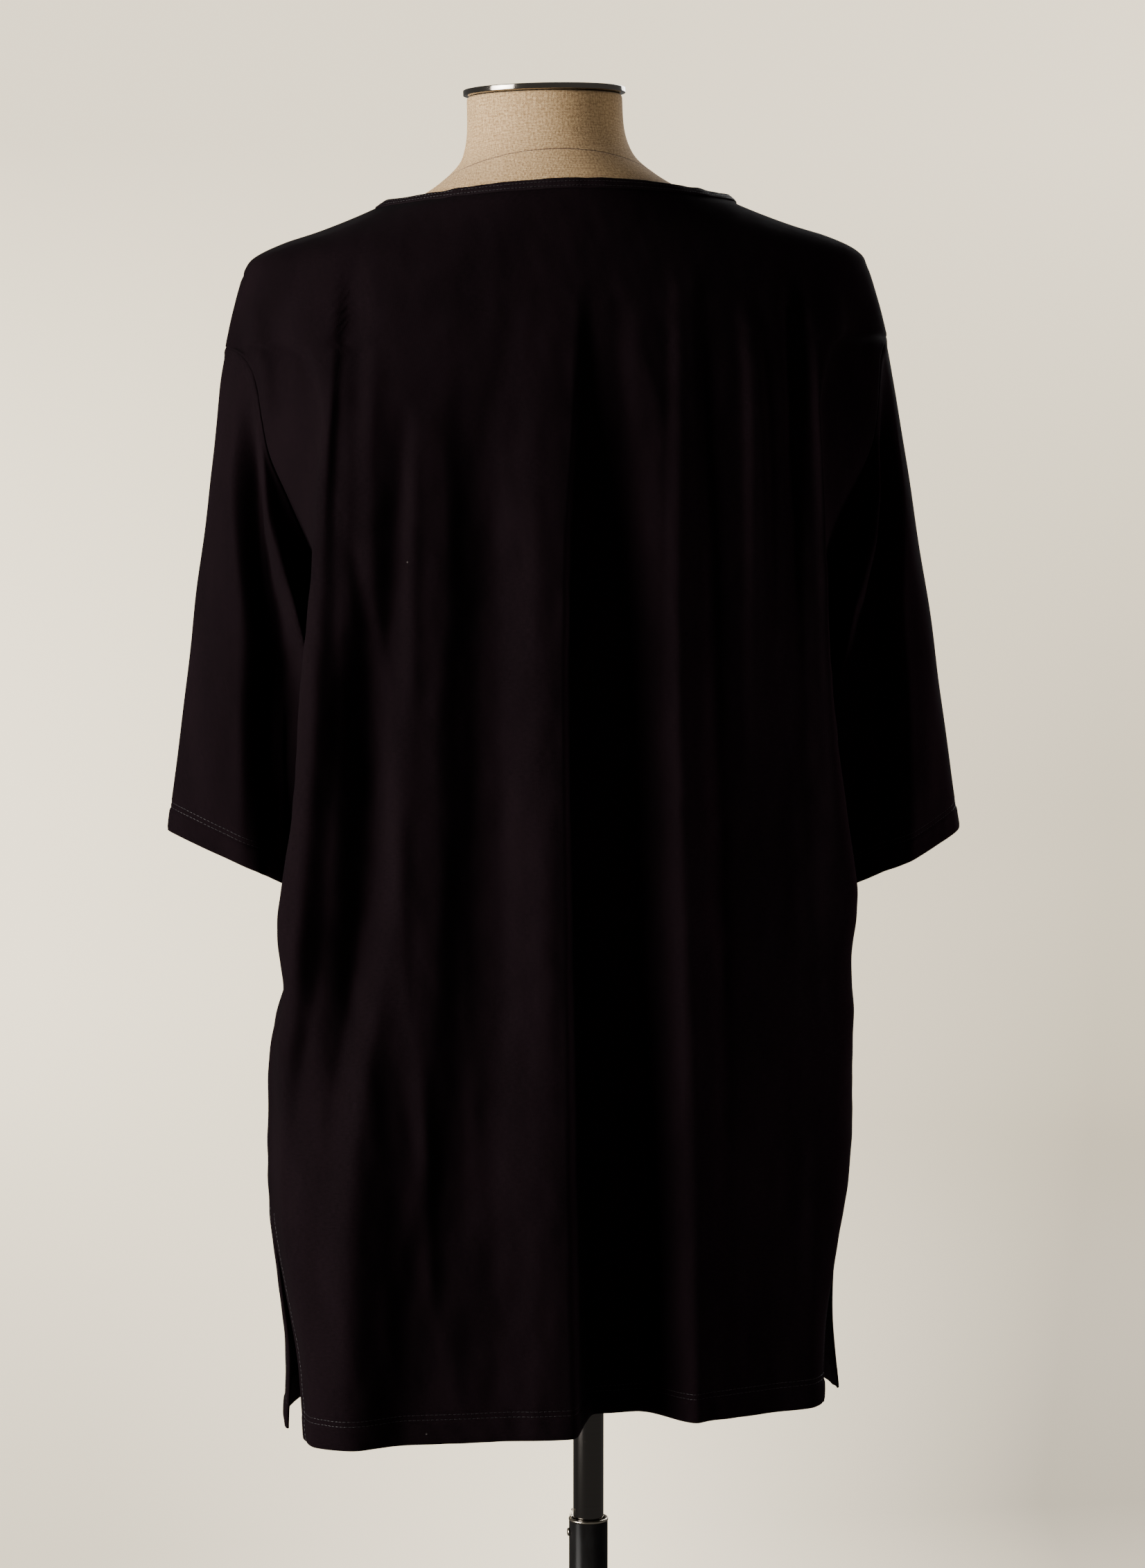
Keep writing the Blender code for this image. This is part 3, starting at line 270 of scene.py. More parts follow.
def stitchRun(path, normals, pitch, length, wide, tall, lift=0.0, seed=1):
    # Short threads laid one after another along a path: each is a six-sided pod whose radius is
    # sqrt(1 - s^4) times its half width, and every one is turned and sized a little differently.
    walked = np.concatenate([[0], np.cumsum(np.linalg.norm(np.diff(path, axis=0), axis=1))])
    count = max(1, int(walked[-1] / pitch))
    chance = np.random.default_rng(seed)
    middle = (np.arange(count) + 0.5) * walked[-1] / count + chance.normal(0, pitch * 0.03, count)
    half = length * 0.5 * (1 + chance.normal(0, 0.05, count))
    here, there = onLine(middle - half, walked, path), onLine(middle + half, walked, path)
    centre = (here + there) / 2
    along = unit(there - here)
    up = unit(onLine(middle, walked, normals))
    up = unit(up - along * (up * along).sum(axis=1, keepdims=True))
    side = np.cross(along, up)
    swing = chance.normal(0, 0.035, count)[:, None]
    along, side = along + side * swing, side - along * swing
    s = np.array([-0.92, -0.6, 0.0, 0.6, 0.92])
    radius = np.sqrt(1 - s ** 4)
    turn = np.arange(6) * math.pi / 3
    ring = np.stack([np.repeat(s, 6), np.outer(radius, np.cos(turn)).ravel(),
                     np.outer(radius, np.sin(turn)).ravel()], axis=-1)
    ring = np.concatenate([ring, [[-1, 0, 0], [1, 0, 0]]])
    points = (centre[:, None] + along[:, None] * (ring[None, :, :1] * half[:, None, None])
              + side[:, None] * (ring[None, :, 1:2] * wide / 2)
              + up[:, None] * (ring[None, :, 2:] * tall / 2 + lift))
    quads = gridFaces(5, 6, True)[:, ::-1]
    caps = endFans(5, 6, 30, 31)[:, [1, 0, 2]]
    offset = (np.arange(count) * 32)[:, None, None]
    return points.reshape(-1, 3), (quads[None] + offset).reshape(-1, 4), (caps[None] + offset).reshape(-1, 3)


def joinRuns(name, runs, material):
    points, quads, caps, start = [], [], [], 0
    for p, q, c in runs:
        points.append(p)
        quads.append(q + start)
        caps.append(c + start)
        start += len(p)
    return fillMesh(name, np.concatenate(points), [np.concatenate(quads), np.concatenate(caps)], material)


# Finishes.
class Finish:
    # A material with its node tree and a few short ways to add nodes.
    def __init__(self, name, color, roughness, metallic=0.0, specular=0.5):
        self.material = bpy.data.materials.new(name)
        self.material.use_nodes = True
        self.tree = self.material.node_tree
        self.shader = self.tree.nodes["Principled BSDF"]
        self.shader.inputs["Base Color"].default_value = (*color, 1.0)
        self.shader.inputs["Roughness"].default_value = roughness
        self.shader.inputs["Metallic"].default_value = metallic
        self.shader.inputs["Specular IOR Level"].default_value = specular

    def add(self, kind, settings=None, **links):
        node = self.tree.nodes.new(kind)
        for key, value in (settings or {}).items():
            setattr(node, key, value)
        for key, value in links.items():
            self.plug(node, key, value)
        return node

    def plug(self, node, key, value):
        slot = node.inputs[int(key[1:])] if key[0] == "i" and key[1:].isdigit() else node.inputs[key]
        if hasattr(value, "is_output"):
            self.tree.links.new(value, slot)
        else:
            slot.default_value = value

    def math(self, operation, a, b=0.0, c=0.0):
        node = self.tree.nodes.new("ShaderNodeMath")
        node.operation = operation
        for slot, value in zip(node.inputs, (a, b, c)):
            if hasattr(value, "is_output"):
                self.tree.links.new(value, slot)
            else:
                slot.default_value = value
        return node.outputs[0]

    def clamp(self, value, low, high):
        return self.math("MINIMUM", self.math("MAXIMUM", value, low), high)

    def uv(self):
        node = self.tree.nodes.new("ShaderNodeUVMap")
        node.uv_map = "cloth"
        split = self.add("ShaderNodeSeparateXYZ", i0=node.outputs[0])
        return node.outputs[0], split.outputs[0], split.outputs[1]

    def place(self):
        node = self.tree.nodes.new("ShaderNodeTexCoord")
        split = self.add("ShaderNodeSeparateXYZ", i0=node.outputs["Object"])
        return node.outputs["Object"], split.outputs[0], split.outputs[1], split.outputs[2]

    def stretch(self, vector, scale, turn=(0, 0, 0)):
        node = self.add("ShaderNodeMapping", Vector=vector)
        node.inputs["Scale"].default_value = scale
        node.inputs["Rotation"].default_value = turn
        return node.outputs[0]

    def noise(self, vector, scale, detail=3.0, roughness=0.5):
        node = self.add("ShaderNodeTexNoise", Vector=vector, Scale=scale, Detail=detail, Roughness=roughness)
        return node.outputs[0]

    def ramp(self, factor, *stops):
        node = self.add("ShaderNodeValToRGB", Fac=factor)
        points = node.color_ramp.elements
        while len(points) < len(stops):
            points.new(0.5)
        for point, (where, color) in zip(points, stops):
            point.position = where
            point.color = (*color, 1.0) if len(color) == 3 else color
        return node.outputs[0]

    def blendColor(self, factor, a, b, way="MIX"):
        node = self.tree.nodes.new("ShaderNodeMix")
        node.data_type = "RGBA"
        node.blend_type = way
        for slot, value in ((node.inputs[0], factor), (node.inputs[6], a), (node.inputs[7], b)):
            if hasattr(value, "is_output"):
                self.tree.links.new(value, slot)
            elif isinstance(value, tuple):
                slot.default_value = (*value, 1.0)
            else:
                slot.default_value = value
        return node.outputs[2]

    def bump(self, height, strength, distance, under=None):
        node = self.add("ShaderNodeBump", Height=height, Strength=strength, Distance=distance)
        if under is not None:
            self.tree.links.new(under, node.inputs["Normal"])
        return node.outputs[0]

    def wire(self, slot, value):
        self.tree.links.new(value, self.shader.inputs[slot])


jersey = {
    "color": (0.0036, 0.0016, 0.0024), "light": (0.0051, 0.0025, 0.0035),  # black with a warm cast
    "wale": 0.00078, "course": 0.00060,                                      # stitch width and height
    "knit": 0.35, "slub": 0.25,                                              # bump strengths
    "roughness": 0.9, "sheen": 0.003, "dim": 0.62,                           # dim: its dark tone against color
    "lint": (0.040, 0.035, 0.033), "lintSize": 0.020, "lintRare": 0.86,
}


def makeJersey(name, cloth, turnKnit=False):
    # Plain knit: each wale is a column of little V shapes, so height = (1 - t^2) + sine of the
    # course number shifted by t, where t runs 0 to 1 from the middle of a wale to its edge.
    f = Finish(name, cloth["color"], cloth["roughness"], specular=0.03)
    f.shader.inputs["Sheen Weight"].default_value = cloth["sheen"]
    f.shader.inputs["Sheen Roughness"].default_value = 0.45
    vector, u, v = f.uv()
    if turnKnit:
        u, v = v, u
    column = f.math("FRACT", f.math("DIVIDE", u, cloth["wale"]))
    side = f.math("ABSOLUTE", f.math("MULTIPLY_ADD", column, 2.0, -1.0))
    shifted = f.math("MULTIPLY_ADD", side, 0.55, f.math("DIVIDE", v, cloth["course"]))
    loop = f.math("SINE", f.math("MULTIPLY", shifted, 2 * math.pi))
    height = f.math("MULTIPLY_ADD", loop, 0.35, f.math("SUBTRACT", 1.0, f.math("POWER", side, 2.0)))
    slub = f.noise(f.stretch(vector, (260.0, 900.0, 1.0)), 1.0, 4.0, 0.6)
    soft = f.noise(f.stretch(vector, (18.0, 9.0, 1.0)), 1.0, 3.0, 0.55)
    lint = f.add("ShaderNodeTexVoronoi", {"feature": "F1"}, Vector=f.stretch(vector, (34.0, 34.0, 1.0)), Scale=1.0)
    small = f.math("LESS_THAN", lint.outputs["Distance"], cloth["lintSize"])
    chosen = f.add("ShaderNodeSeparateColor", i0=lint.outputs["Color"]).outputs[0]
    speck = f.math("MULTIPLY", small, f.math("GREATER_THAN", chosen, cloth["lintRare"]))
    tone = f.ramp(f.math("MULTIPLY_ADD", slub, 0.55, f.math("MULTIPLY", soft, 0.45)),
                  (0.36, tuple(c * cloth["dim"] for c in cloth["color"])), (0.66, cloth["light"]))
    f.wire("Base Color", f.blendColor(speck, tone, cloth["lint"]))
    low = f.bump(soft, 0.10, 0.0008)
    mid = f.bump(slub, cloth["slub"], 0.00012, low)
    f.wire("Normal", f.bump(height, cloth["knit"], 0.00011, mid))
    return f.material


jerseyFinish = makeJersey("jerseyBlack", jersey)
# The binding is the same black jersey with its lighter tones raised: painted sheen over the whole band, on top of the
# real sheen from its lower roughness.
bindingFinish = makeJersey("jerseyBinding", dict(jersey, light=(0.0085, 0.0050, 0.0062), roughness=0.7), True)


def makeThread(name, color, other, roughness, noiseScale):
    # Twisted thread: fine slanting ridges, and a tone that wanders along the run.
    f = Finish(name, color, roughness, specular=0.3)
    place, x, y, z = f.place()
    twist = f.math("SINE", f.math("MULTIPLY", f.math("ADD", x, f.math("ADD", y, z)), 9000.0))
    f.wire("Base Color", f.ramp(f.noise(place, noiseScale, 3.0), (0.40, color), (0.60, other)))
    f.wire("Normal", f.bump(twist, 0.3, 0.00004))
    return f.material


threadFinish = makeThread("sewingThread", (0.0060, 0.0040, 0.0048), (0.0095, 0.0066, 0.0078), 0.5, 90.0)

linen = {
    "dark": (0.160, 0.092, 0.040), "middle": (0.400, 0.258, 0.128), "light": (0.690, 0.490, 0.265),
    "patch": (0.33, 0.210, 0.100), "patchShare": 0.22, "weft": 0.92,   # weft: its thread against the warp's
    "thread": 0.00102, "seamZ": 1.448, "seamY": 0.060, "seamSlope": 0.35,
    "seamHalf": 0.00045, "seamColor": (0.085, 0.040, 0.025), "seamShare": 0.75, "grooveHalf": 0.0009,
    "markPlace": (0.0300, 0.0700, 1.4340), "markRadius": 0.0028, "markColor": (0.15, 0.060, 0.030), "markShare": 0.8,
}


def makeLinen():
    # Plain weave: warp and weft take turns on top, so height is the product of two sines whose
    # signs swap from thread to thread; each thread has its own thickness and tone. The colour is
    # also darker where that height is low: painted shade between the threads.
    f = Finish("linenBeige", linen["middle"], 0.88, specular=0.2)
    f.shader.inputs["Sheen Weight"].default_value = 0.06
    vector, u, v = f.uv()
    place, _, y, z = f.place()
    wander = f.noise(f.stretch(vector, (60.0, 60.0, 1.0)), 1.0, 2.0)
    warp = f.math("MULTIPLY_ADD", wander, 0.5, f.math("DIVIDE", u, linen["thread"]))
    weft = f.math("MULTIPLY_ADD", wander, 0.5, f.math("DIVIDE", v, linen["thread"] * linen["weft"]))
    across = f.math("SINE", f.math("MULTIPLY", warp, math.pi))
    upward = f.math("SINE", f.math("MULTIPLY", weft, math.pi))
    woven = f.math("ABSOLUTE", f.math("MULTIPLY", across, upward))
    slubU = f.noise(f.stretch(vector, (900.0, 26.0, 1.0)), 1.0, 2.0)
    slubV = f.noise(f.stretch(vector, (26.0, 950.0, 1.0)), 1.0, 2.0)
    slub = f.math("ADD", slubU, slubV)
    patch = f.noise(place, 9.0, 3.0)
    grain = f.noise(f.stretch(vector, (520.0, 560.0, 1.0)), 1.0, 2.0, 0.6)
    # woven paints shade at the weave's low points; slub and grain are the threads' own tone.
    shade = f.math("ADD", f.math("MULTIPLY", woven, 0.66), f.math("MULTIPLY_ADD", slub, 0.30, -0.04))
    shade = f.math("MULTIPLY_ADD", f.math("SUBTRACT", grain, 0.5), 1.1, shade)
    color = f.ramp(shade, (0.16, linen["dark"]), (0.56, linen["middle"]), (0.95, linen["light"]))
    color = f.blendColor(f.math("MULTIPLY", patch, linen["patchShare"]), color, linen["patch"])
    # the neck's base seam is a tilted level line; a small brown mark sits under it at the back
    level = f.math("SUBTRACT", z, f.math("MULTIPLY_ADD", f.math("SUBTRACT", y, linen["seamY"]), linen["seamSlope"],
                                         linen["seamZ"]))
    line = f.math("LESS_THAN", f.math("ABSOLUTE", level), linen["seamHalf"])
    color = f.blendColor(f.math("MULTIPLY", line, linen["seamShare"]), color, linen["seamColor"])
    spot = f.add("ShaderNodeVectorMath", {"operation": "DISTANCE"}, i0=place, i1=linen["markPlace"])
    mark = f.math("LESS_THAN", f.math("MULTIPLY_ADD", slub, 0.0012, spot.outputs["Value"]), linen["markRadius"])
    color = f.blendColor(f.math("MULTIPLY", mark, linen["markShare"]), color, linen["markColor"])
    f.wire("Base Color", color)
    beside = f.math("DIVIDE", f.math("ABSOLUTE", level), linen["grooveHalf"])
    groove = f.math("SUBTRACT", 1.0, f.math("MINIMUM", beside, 1.0))
    seamed = f.bump(f.math("MULTIPLY", groove, -1.0), 0.7, 0.0005)
    f.wire("Normal", f.bump(f.math("ADD", woven, slub), 0.5, 0.00022, seamed))
    return f.material


linenFinish = makeLinen()


def makeSteel(name, color, roughness, streak, spread, ring=0.0, scratch=0.0):
    # Drawn metal: fine streaks along the tube, faint rings round it and a few dull scuffs.
    f = Finish(name, color, roughness, 1.0)
    place = f.place()[0]
    drawn = f.noise(f.stretch(place, (streak, streak, 3.0)), 1.0, 3.0)
    turnedRings = f.noise(f.stretch(place, (2.0, 2.0, 700.0)), 1.0, 2.0)
    scuff = f.noise(f.stretch(place, (40.0, 40.0, 160.0)), 1.0, 5.0, 0.7)
    rough = f.math("ADD", f.math("MULTIPLY_ADD", drawn, spread, roughness - spread * 0.5),
                   f.math("MULTIPLY", f.math("GREATER_THAN", scuff, 0.66), scratch))
    f.wire("Roughness", rough)
    tone = f.blendColor(f.math("MULTIPLY", turnedRings, ring), color, tuple(min(1.0, c * 1.9) for c in color))
    f.wire("Base Color", tone)
    f.wire("Normal", f.bump(f.math("ADD", drawn, turnedRings), 0.08, 0.0001))
    return f.material


capFinish = makeSteel("capSteel", (0.260, 0.235, 0.205), 0.11, 30.0, 0.05)
tubeFinish = makeSteel("tubeSteel", (0.105, 0.096, 0.088), 0.14, 500.0, 0.06, 0.35, 0.12)
rimFinish = makeSteel("rimSteel", (0.44, 0.39, 0.31), 0.24, 60.0, 0.08, 0.2, 0.1)


def makePaint():
    f = Finish("tubePaint", (0.0065, 0.0062, 0.0060), 0.22, specular=0.04)
    place = f.place()[0]
    orange = f.noise(place, 900.0, 2.0)
    wear = f.noise(f.stretch(place, (60.0, 60.0, 22.0)), 1.0, 5.0, 0.65)
    f.wire("Roughness", f.math("MULTIPLY_ADD", wear, 0.14, 0.15))
    f.wire("Base Color", f.ramp(wear, (0.35, (0.0055, 0.0052, 0.0050)), (0.8, (0.014, 0.0135, 0.013))))
    f.wire("Normal", f.bump(orange, 0.12, 0.0002))
    return f.material


paintFinish = makePaint()
print("finishes made")


# The tunic's body panels.
# Each level section is a superellipse from the middle to the side seam, the armhole or the shoulder
# line; beside the sleeves it bends round the side fold's crest and tucks in; folds are added to y.
tunic = {
    "middleX": 0.0090, "lean": math.radians(1.25), "pivotZ": 0.800,
    "hemZ": 0.568, "frontDrop": 0.004, "slitTop": 0.7205, "underarm": 1.120, "armholeTop": 1.317,
    "tip": (0.2215, 1.3645), "neckPoint": (0.1280, 1.4108), "napeZ": 1.4185, "frontNeckZ": 1.318, "fanZ": 1.2,
    "wall": 0.0010, "hemDeep": 0.0165, "rowGap": 0.0034, "columns": 222, "rowStep": 0.0044,
    "slitDeep": 0.0115, "crestAt": 0.84, "puff": 0.00045, "pull": 0.00035, "double": 0.9,   # double: two layers
}

bodyRows = Rows(("z", "back", "front", "square"), [
    (0.568, 0.136, -0.128, 2.5), (0.720, 0.134, -0.132, 2.5), (0.860, 0.130, -0.138, 2.5),
    (1.000, 0.125, -0.142, 2.5), (1.150, 0.119, -0.144, 2.4), (1.230, 0.115, -0.141, 2.2),
    (1.300, 0.110, -0.126, 2.0), (1.340, 0.105, -0.108, 1.9), (1.370, 0.099, -0.089, 1.9),
    (1.400, 0.091, -0.070, 1.9), (1.430, 0.083, -0.060, 1.9)])

sideFold = Rows(("z", "backLeft", "backRight", "frontLeft", "frontRight", "backY", "frontY", "share"), [
    (0.568, 0.2150, 0.1690, 0.2150, 0.1690, 0.085, -0.020, 0.0),
    (0.740, 0.2230, 0.1850, 0.2190, 0.1850, 0.080, -0.040, 0.0),
    (0.860, 0.2330, 0.1950, 0.2060, 0.1900, 0.076, -0.060, 0.6),
    (0.935, 0.2200, 0.1875, 0.1900, 0.1860, 0.078, -0.070, 1.0),
    (1.000, 0.2090, 0.1800, 0.1860, 0.1820, 0.080, -0.074, 1.0),
    (1.074, 0.2021, 0.1730, 0.1820, 0.1780, 0.083, -0.077, 1.0),
    (1.170, 0.1906, 0.1690, 0.1760, 0.1740, 0.087, -0.080, 1.0),
    (1.264, 0.1803, 0.1660, 0.1700, 0.1690, 0.087, -0.078, 1.0),
    (1.310, 0.1760, 0.1630, 0.1680, 0.1670, 0.080, -0.070, 0.5),
    (1.360, 0.1720, 0.1610, 0.1650, 0.1650, 0.070, -0.060, 0.0)])

sideSeam = Rows(("z", "left", "right", "leftY", "rightY", "gap", "leftFlare", "rightFlare"), [
    (0.564, 0.2151, 0.1700, 0.0675, 0.0515, 0.0230, 0.0035, 0.0120),
    (0.610, 0.2140, 0.1690, 0.0620, 0.0510, 0.0160, 0.0020, 0.0080),
    (0.670, 0.2200, 0.1745, 0.0560, 0.0500, 0.0070, 0.0010, 0.0030),
    (0.7205, 0.2250, 0.1830, 0.0500, 0.0500, 0.0, 0.0, 0.0),
    (0.780, 0.2235, 0.1880, 0.0420, 0.0420, 0.0, 0.0, 0.0),
    (0.840, 0.2170, 0.1850, 0.0280, 0.0280, 0.0, 0.0, 0.0),
    (0.890, 0.1765, 0.1620, 0.0120, 0.0120, 0.0, 0.0, 0.0),
    (0.940, 0.1560, 0.1480, 0.0020, 0.0020, 0.0, 0.0, 0.0),
    (1.020, 0.1460, 0.1440, 0.0, 0.0, 0.0, 0.0, 0.0),
    (1.085, 0.1480, 0.1480, 0.0, 0.0, 0.0, 0.0, 0.0),
    (1.120, 0.1580, 0.1580, 0.0, 0.0, 0.0, 0.0, 0.0)])

armhole = Rows(("z", "x", "depth"), [
    (1.1200, 0.1580, 0.0000), (1.1270, 0.1640, 0.0190), (1.1460, 0.1720, 0.0320), (1.1760, 0.1840, 0.0420),
    (1.2150, 0.2005, 0.0480), (1.2420, 0.2115, 0.0485), (1.2670, 0.2158, 0.0475), (1.2880, 0.2185, 0.0440),
    (1.3030, 0.2225, 0.0360), (1.3125, 0.2290, 0.0220), (1.3170, 0.2347, 0.0000)])

shoulder = Rows(("z", "x"), [
    (1.250, 0.2500), (1.300, 0.2385), (1.317, 0.2347), (1.342, 0.2285), (1.3645, 0.2215), (1.3770, 0.2146),
    (1.3875, 0.1925), (1.3945, 0.1700), (1.4025, 0.1480), (1.4108, 0.1280), (1.4180, 0.1130), (1.4400, 0.0900)])

# Folds: height, distance of the middle from the tunic's middle, reach to the left and right, depth.
foldColumns = ("z", "x", "toLeft", "toRight", "depth")
backFolds = {
    "deepValley": [(0.568, -0.0080, 0.0400, 0.0540, -0.060), (0.640, -0.0080, 0.0400, 0.0540, -0.053),
                   (0.760, -0.0080, 0.0400, 0.0560, -0.041), (0.900, -0.0060, 0.0370, 0.0560, -0.031),
                   (1.070, -0.0060, 0.0330, 0.0540, -0.026), (1.170, -0.0060, 0.0270, 0.0500, -0.020),
                   (1.250, -0.0080, 0.0230, 0.0460, -0.011), (1.310, -0.0100, 0.0180, 0.0300, -0.004),
                   (1.360, -0.0100, 0.0160, 0.0260, 0.0)],
    "mainRidge": [(0.568, 0.0400, 0.0440, 0.0200, 0.004), (0.740, 0.0380, 0.0440, 0.0180, 0.007),
                  (0.900, 0.0330, 0.0410, 0.0150, 0.009), (1.070, 0.0310, 0.0400, 0.0130, 0.010),
                  (1.170, 0.0270, 0.0420, 0.0130, 0.009), (1.250, 0.0200, 0.0460, 0.0150, 0.006),
                  (1.340, 0.0150, 0.0450, 0.0180, 0.0)],
    "mainCrest": [(0.568, 0.0330, 0.0320, 0.0140, 0.002), (0.800, 0.0290, 0.0300, 0.0120, 0.003),
                  (1.100, 0.0250, 0.0280, 0.0110, 0.003), (1.200, 0.0260, 0.0260, 0.0130, 0.0)],
    "leftRidge": [(0.568, 0.1900, 0.0340, 0.0560, 0.0), (0.640, 0.1750, 0.0380, 0.0560, 0.004),
                  (0.735, 0.1560, 0.0420, 0.0520, 0.006), (0.800, 0.1450, 0.0400, 0.0520, 0.006),
                  (0.877, 0.1340, 0.0420, 0.0460, 0.006), (0.983, 0.1180, 0.0460, 0.0320, 0.007),
                  (1.070, 0.1150, 0.0320, 0.0340, 0.006), (1.170, 0.1130, 0.0270, 0.0380, 0.005),
                  (1.240, 0.1120, 0.0170, 0.0340, 0.003), (1.300, 0.1120, 0.0160, 0.0300, 0.0)],
    "leftFlat": [(0.568, 0.2060, 0.0500, 0.0640, 0.017), (0.640, 0.2120, 0.0500, 0.0720, 0.023),
                 (0.740, 0.2230, 0.0500, 0.0900, 0.026), (0.860, 0.2270, 0.0500, 0.0820, 0.027),
                 (0.980, 0.2080, 0.0500, 0.0620, 0.022), (1.080, 0.2000, 0.0500, 0.0540, 0.021),
                 (1.170, 0.1880, 0.0500, 0.0600, 0.014), (1.240, 0.1850, 0.0400, 0.0600, 0.008),
                 (1.310, 0.1850, 0.0300, 0.0500, 0.003), (1.350, 0.1800, 0.0300, 0.0400, 0.0)],
    "leftGroove": [(0.690, 0.2120, 0.0240, 0.0260, -0.002), (0.790, 0.2020, 0.0260, 0.0320, -0.014),
                   (0.877, 0.1860, 0.0320, 0.0340, -0.015), (0.973, 0.1760, 0.0320, 0.0400, -0.012),
                   (1.070, 0.1670, 0.0300, 0.0290, -0.011), (1.156, 0.1700, 0.0180, 0.0220, -0.005),
                   (1.236, 0.1680, 0.0120, 0.0200, -0.005), (1.300, 0.1620, 0.0100, 0.0180, -0.0045),
                   (1.345, 0.1570, 0.0080, 0.0150, -0.004), (1.375, 0.1540, 0.0080, 0.0120, 0.0)],
    "middleValley": [(0.660, 0.1320, 0.0300, 0.0300, 0.0), (0.740, 0.1060, 0.0300, 0.0340, -0.003),
                     (0.900, 0.0920, 0.0260, 0.0300, -0.003), (1.070, 0.0880, 0.0240, 0.0280, -0.003),
                     (1.170, 0.0820, 0.0200, 0.0260, -0.003), (1.300, 0.0820, 0.0200, 0.0240, 0.0)],
    "rightPlane": [(0.568, -0.1000, 0.0750, 0.0700, -0.019), (0.700, -0.1040, 0.0800, 0.0730, -0.019),
                   (0.800, -0.1100, 0.0860, 0.0760, -0.017),
                   (1.070, -0.1150, 0.0900, 0.0800, -0.018), (1.240, -0.1100, 0.0800, 0.0700, -0.010),
                   (1.340, -0.1100, 0.0800, 0.0700, 0.0)],
    "rightRidge": [(0.568, -0.0640, 0.0240, 0.0280, 0.001), (0.800, -0.0620, 0.0220, 0.0280, 0.005),
                   (1.000, -0.0620, 0.0200, 0.0260, 0.007), (1.170, -0.0670, 0.0190, 0.0220, 0.006),
                   (1.240, -0.0680, 0.0170, 0.0180, 0.005), (1.320, -0.0690, 0.0140, 0.0150, 0.003),
                   (1.370, -0.0700, 0.0140, 0.0140, 0.0)],
    "rightPleat": [(1.000, -0.1180, 0.0130, 0.0130, 0.0), (1.070, -0.1170, 0.0130, 0.0130, 0.001),
                   (1.170, -0.1180, 0.0120, 0.0120, 0.003), (1.240, -0.1180, 0.0110, 0.0110, 0.004),
                   (1.310, -0.1160, 0.0090, 0.0090, 0.003), (1.345, -0.1140, 0.0070, 0.0070, 0.0)],
    "rightLowRidge": [(0.568, -0.1400, 0.0240, 0.0200, 0.002), (0.790, -0.1400, 0.0260, 0.0200, 0.002),
                      (0.980, -0.1360, 0.0240, 0.0180, 0.0)],
    "rightGroove": [(0.930, -0.1600, 0.0160, 0.0120, 0.0), (1.070, -0.1580, 0.0180, 0.0140, -0.003),
                    (1.170, -0.1560, 0.0180, 0.0140, -0.006), (1.240, -0.1540, 0.0170, 0.0130, -0.009),
                    (1.310, -0.1520, 0.0140, 0.0130, -0.009), (1.370, -0.1500, 0.0120, 0.0100, 0.0)],
}
frontFolds = {
    "leftValley": [(0.565, 0.0660, 0.0340, 0.0300, -0.062), (0.700, 0.0620, 0.0340, 0.0340, -0.044),
                   (0.900, 0.0560, 0.0320, 0.0340, -0.028), (1.100, 0.0520, 0.0300, 0.0300, -0.012),
                   (1.210, 0.0520, 0.0240, 0.0240, 0.0)],
    "leftRidge": [(0.565, 0.1240, 0.0360, 0.0340, 0.010), (0.800, 0.1200, 0.0360, 0.0340, 0.012),
                  (1.050, 0.1120, 0.0340, 0.0340, 0.010), (1.200, 0.1080, 0.0300, 0.0300, 0.004),
                  (1.280, 0.1080, 0.0300, 0.0300, 0.0)],
    "middleRidge": [(0.565, 0.0080, 0.0380, 0.0380, 0.008), (0.850, 0.0040, 0.0380, 0.0340, 0.010),
                    (1.120, -0.0020, 0.0340, 0.0340, 0.0)],
    "rightValley": [(0.565, -0.0520, 0.0300, 0.0360, -0.048), (0.720, -0.0540, 0.0320, 0.0340, -0.034),
                    (0.920, -0.0580, 0.0320, 0.0320, -0.022), (1.120, -0.0600, 0.0280, 0.0280, -0.008),
                    (1.200, -0.0600, 0.0240, 0.0240, 0.0)],
    "rightRidge": [(0.565, -0.1080, 0.0320, 0.0320, 0.012), (0.860, -0.1100, 0.0320, 0.0300, 0.012),
                   (1.100, -0.1080, 0.0300, 0.0300, 0.008), (1.260, -0.1060, 0.0260, 0.0260, 0.0)],
}


def foldShape(offset, toLeft, toRight):
    # 1 on the middle, 0 at both reaches, flat on the middle third.
    share = np.abs(offset) / np.where(offset > 0, toLeft, toRight)
    return ease((1.0 - share) / 0.7)


def foldDepth(folds, x, z):
    total = np.zeros_like(x)
    for rows in folds.values():
        fold = Rows(foldColumns, rows)
        total += fold.at("depth", z) * foldShape(x - fold.at("x", z), fold.at("toLeft", z), fold.at("toRight", z))
    return total


def sided(left, rows, names, z):
    # The first named column on the wearer's left, the second on the right.
    return np.where(left, rows.at(names[0], z), rows.at(names[1], z))


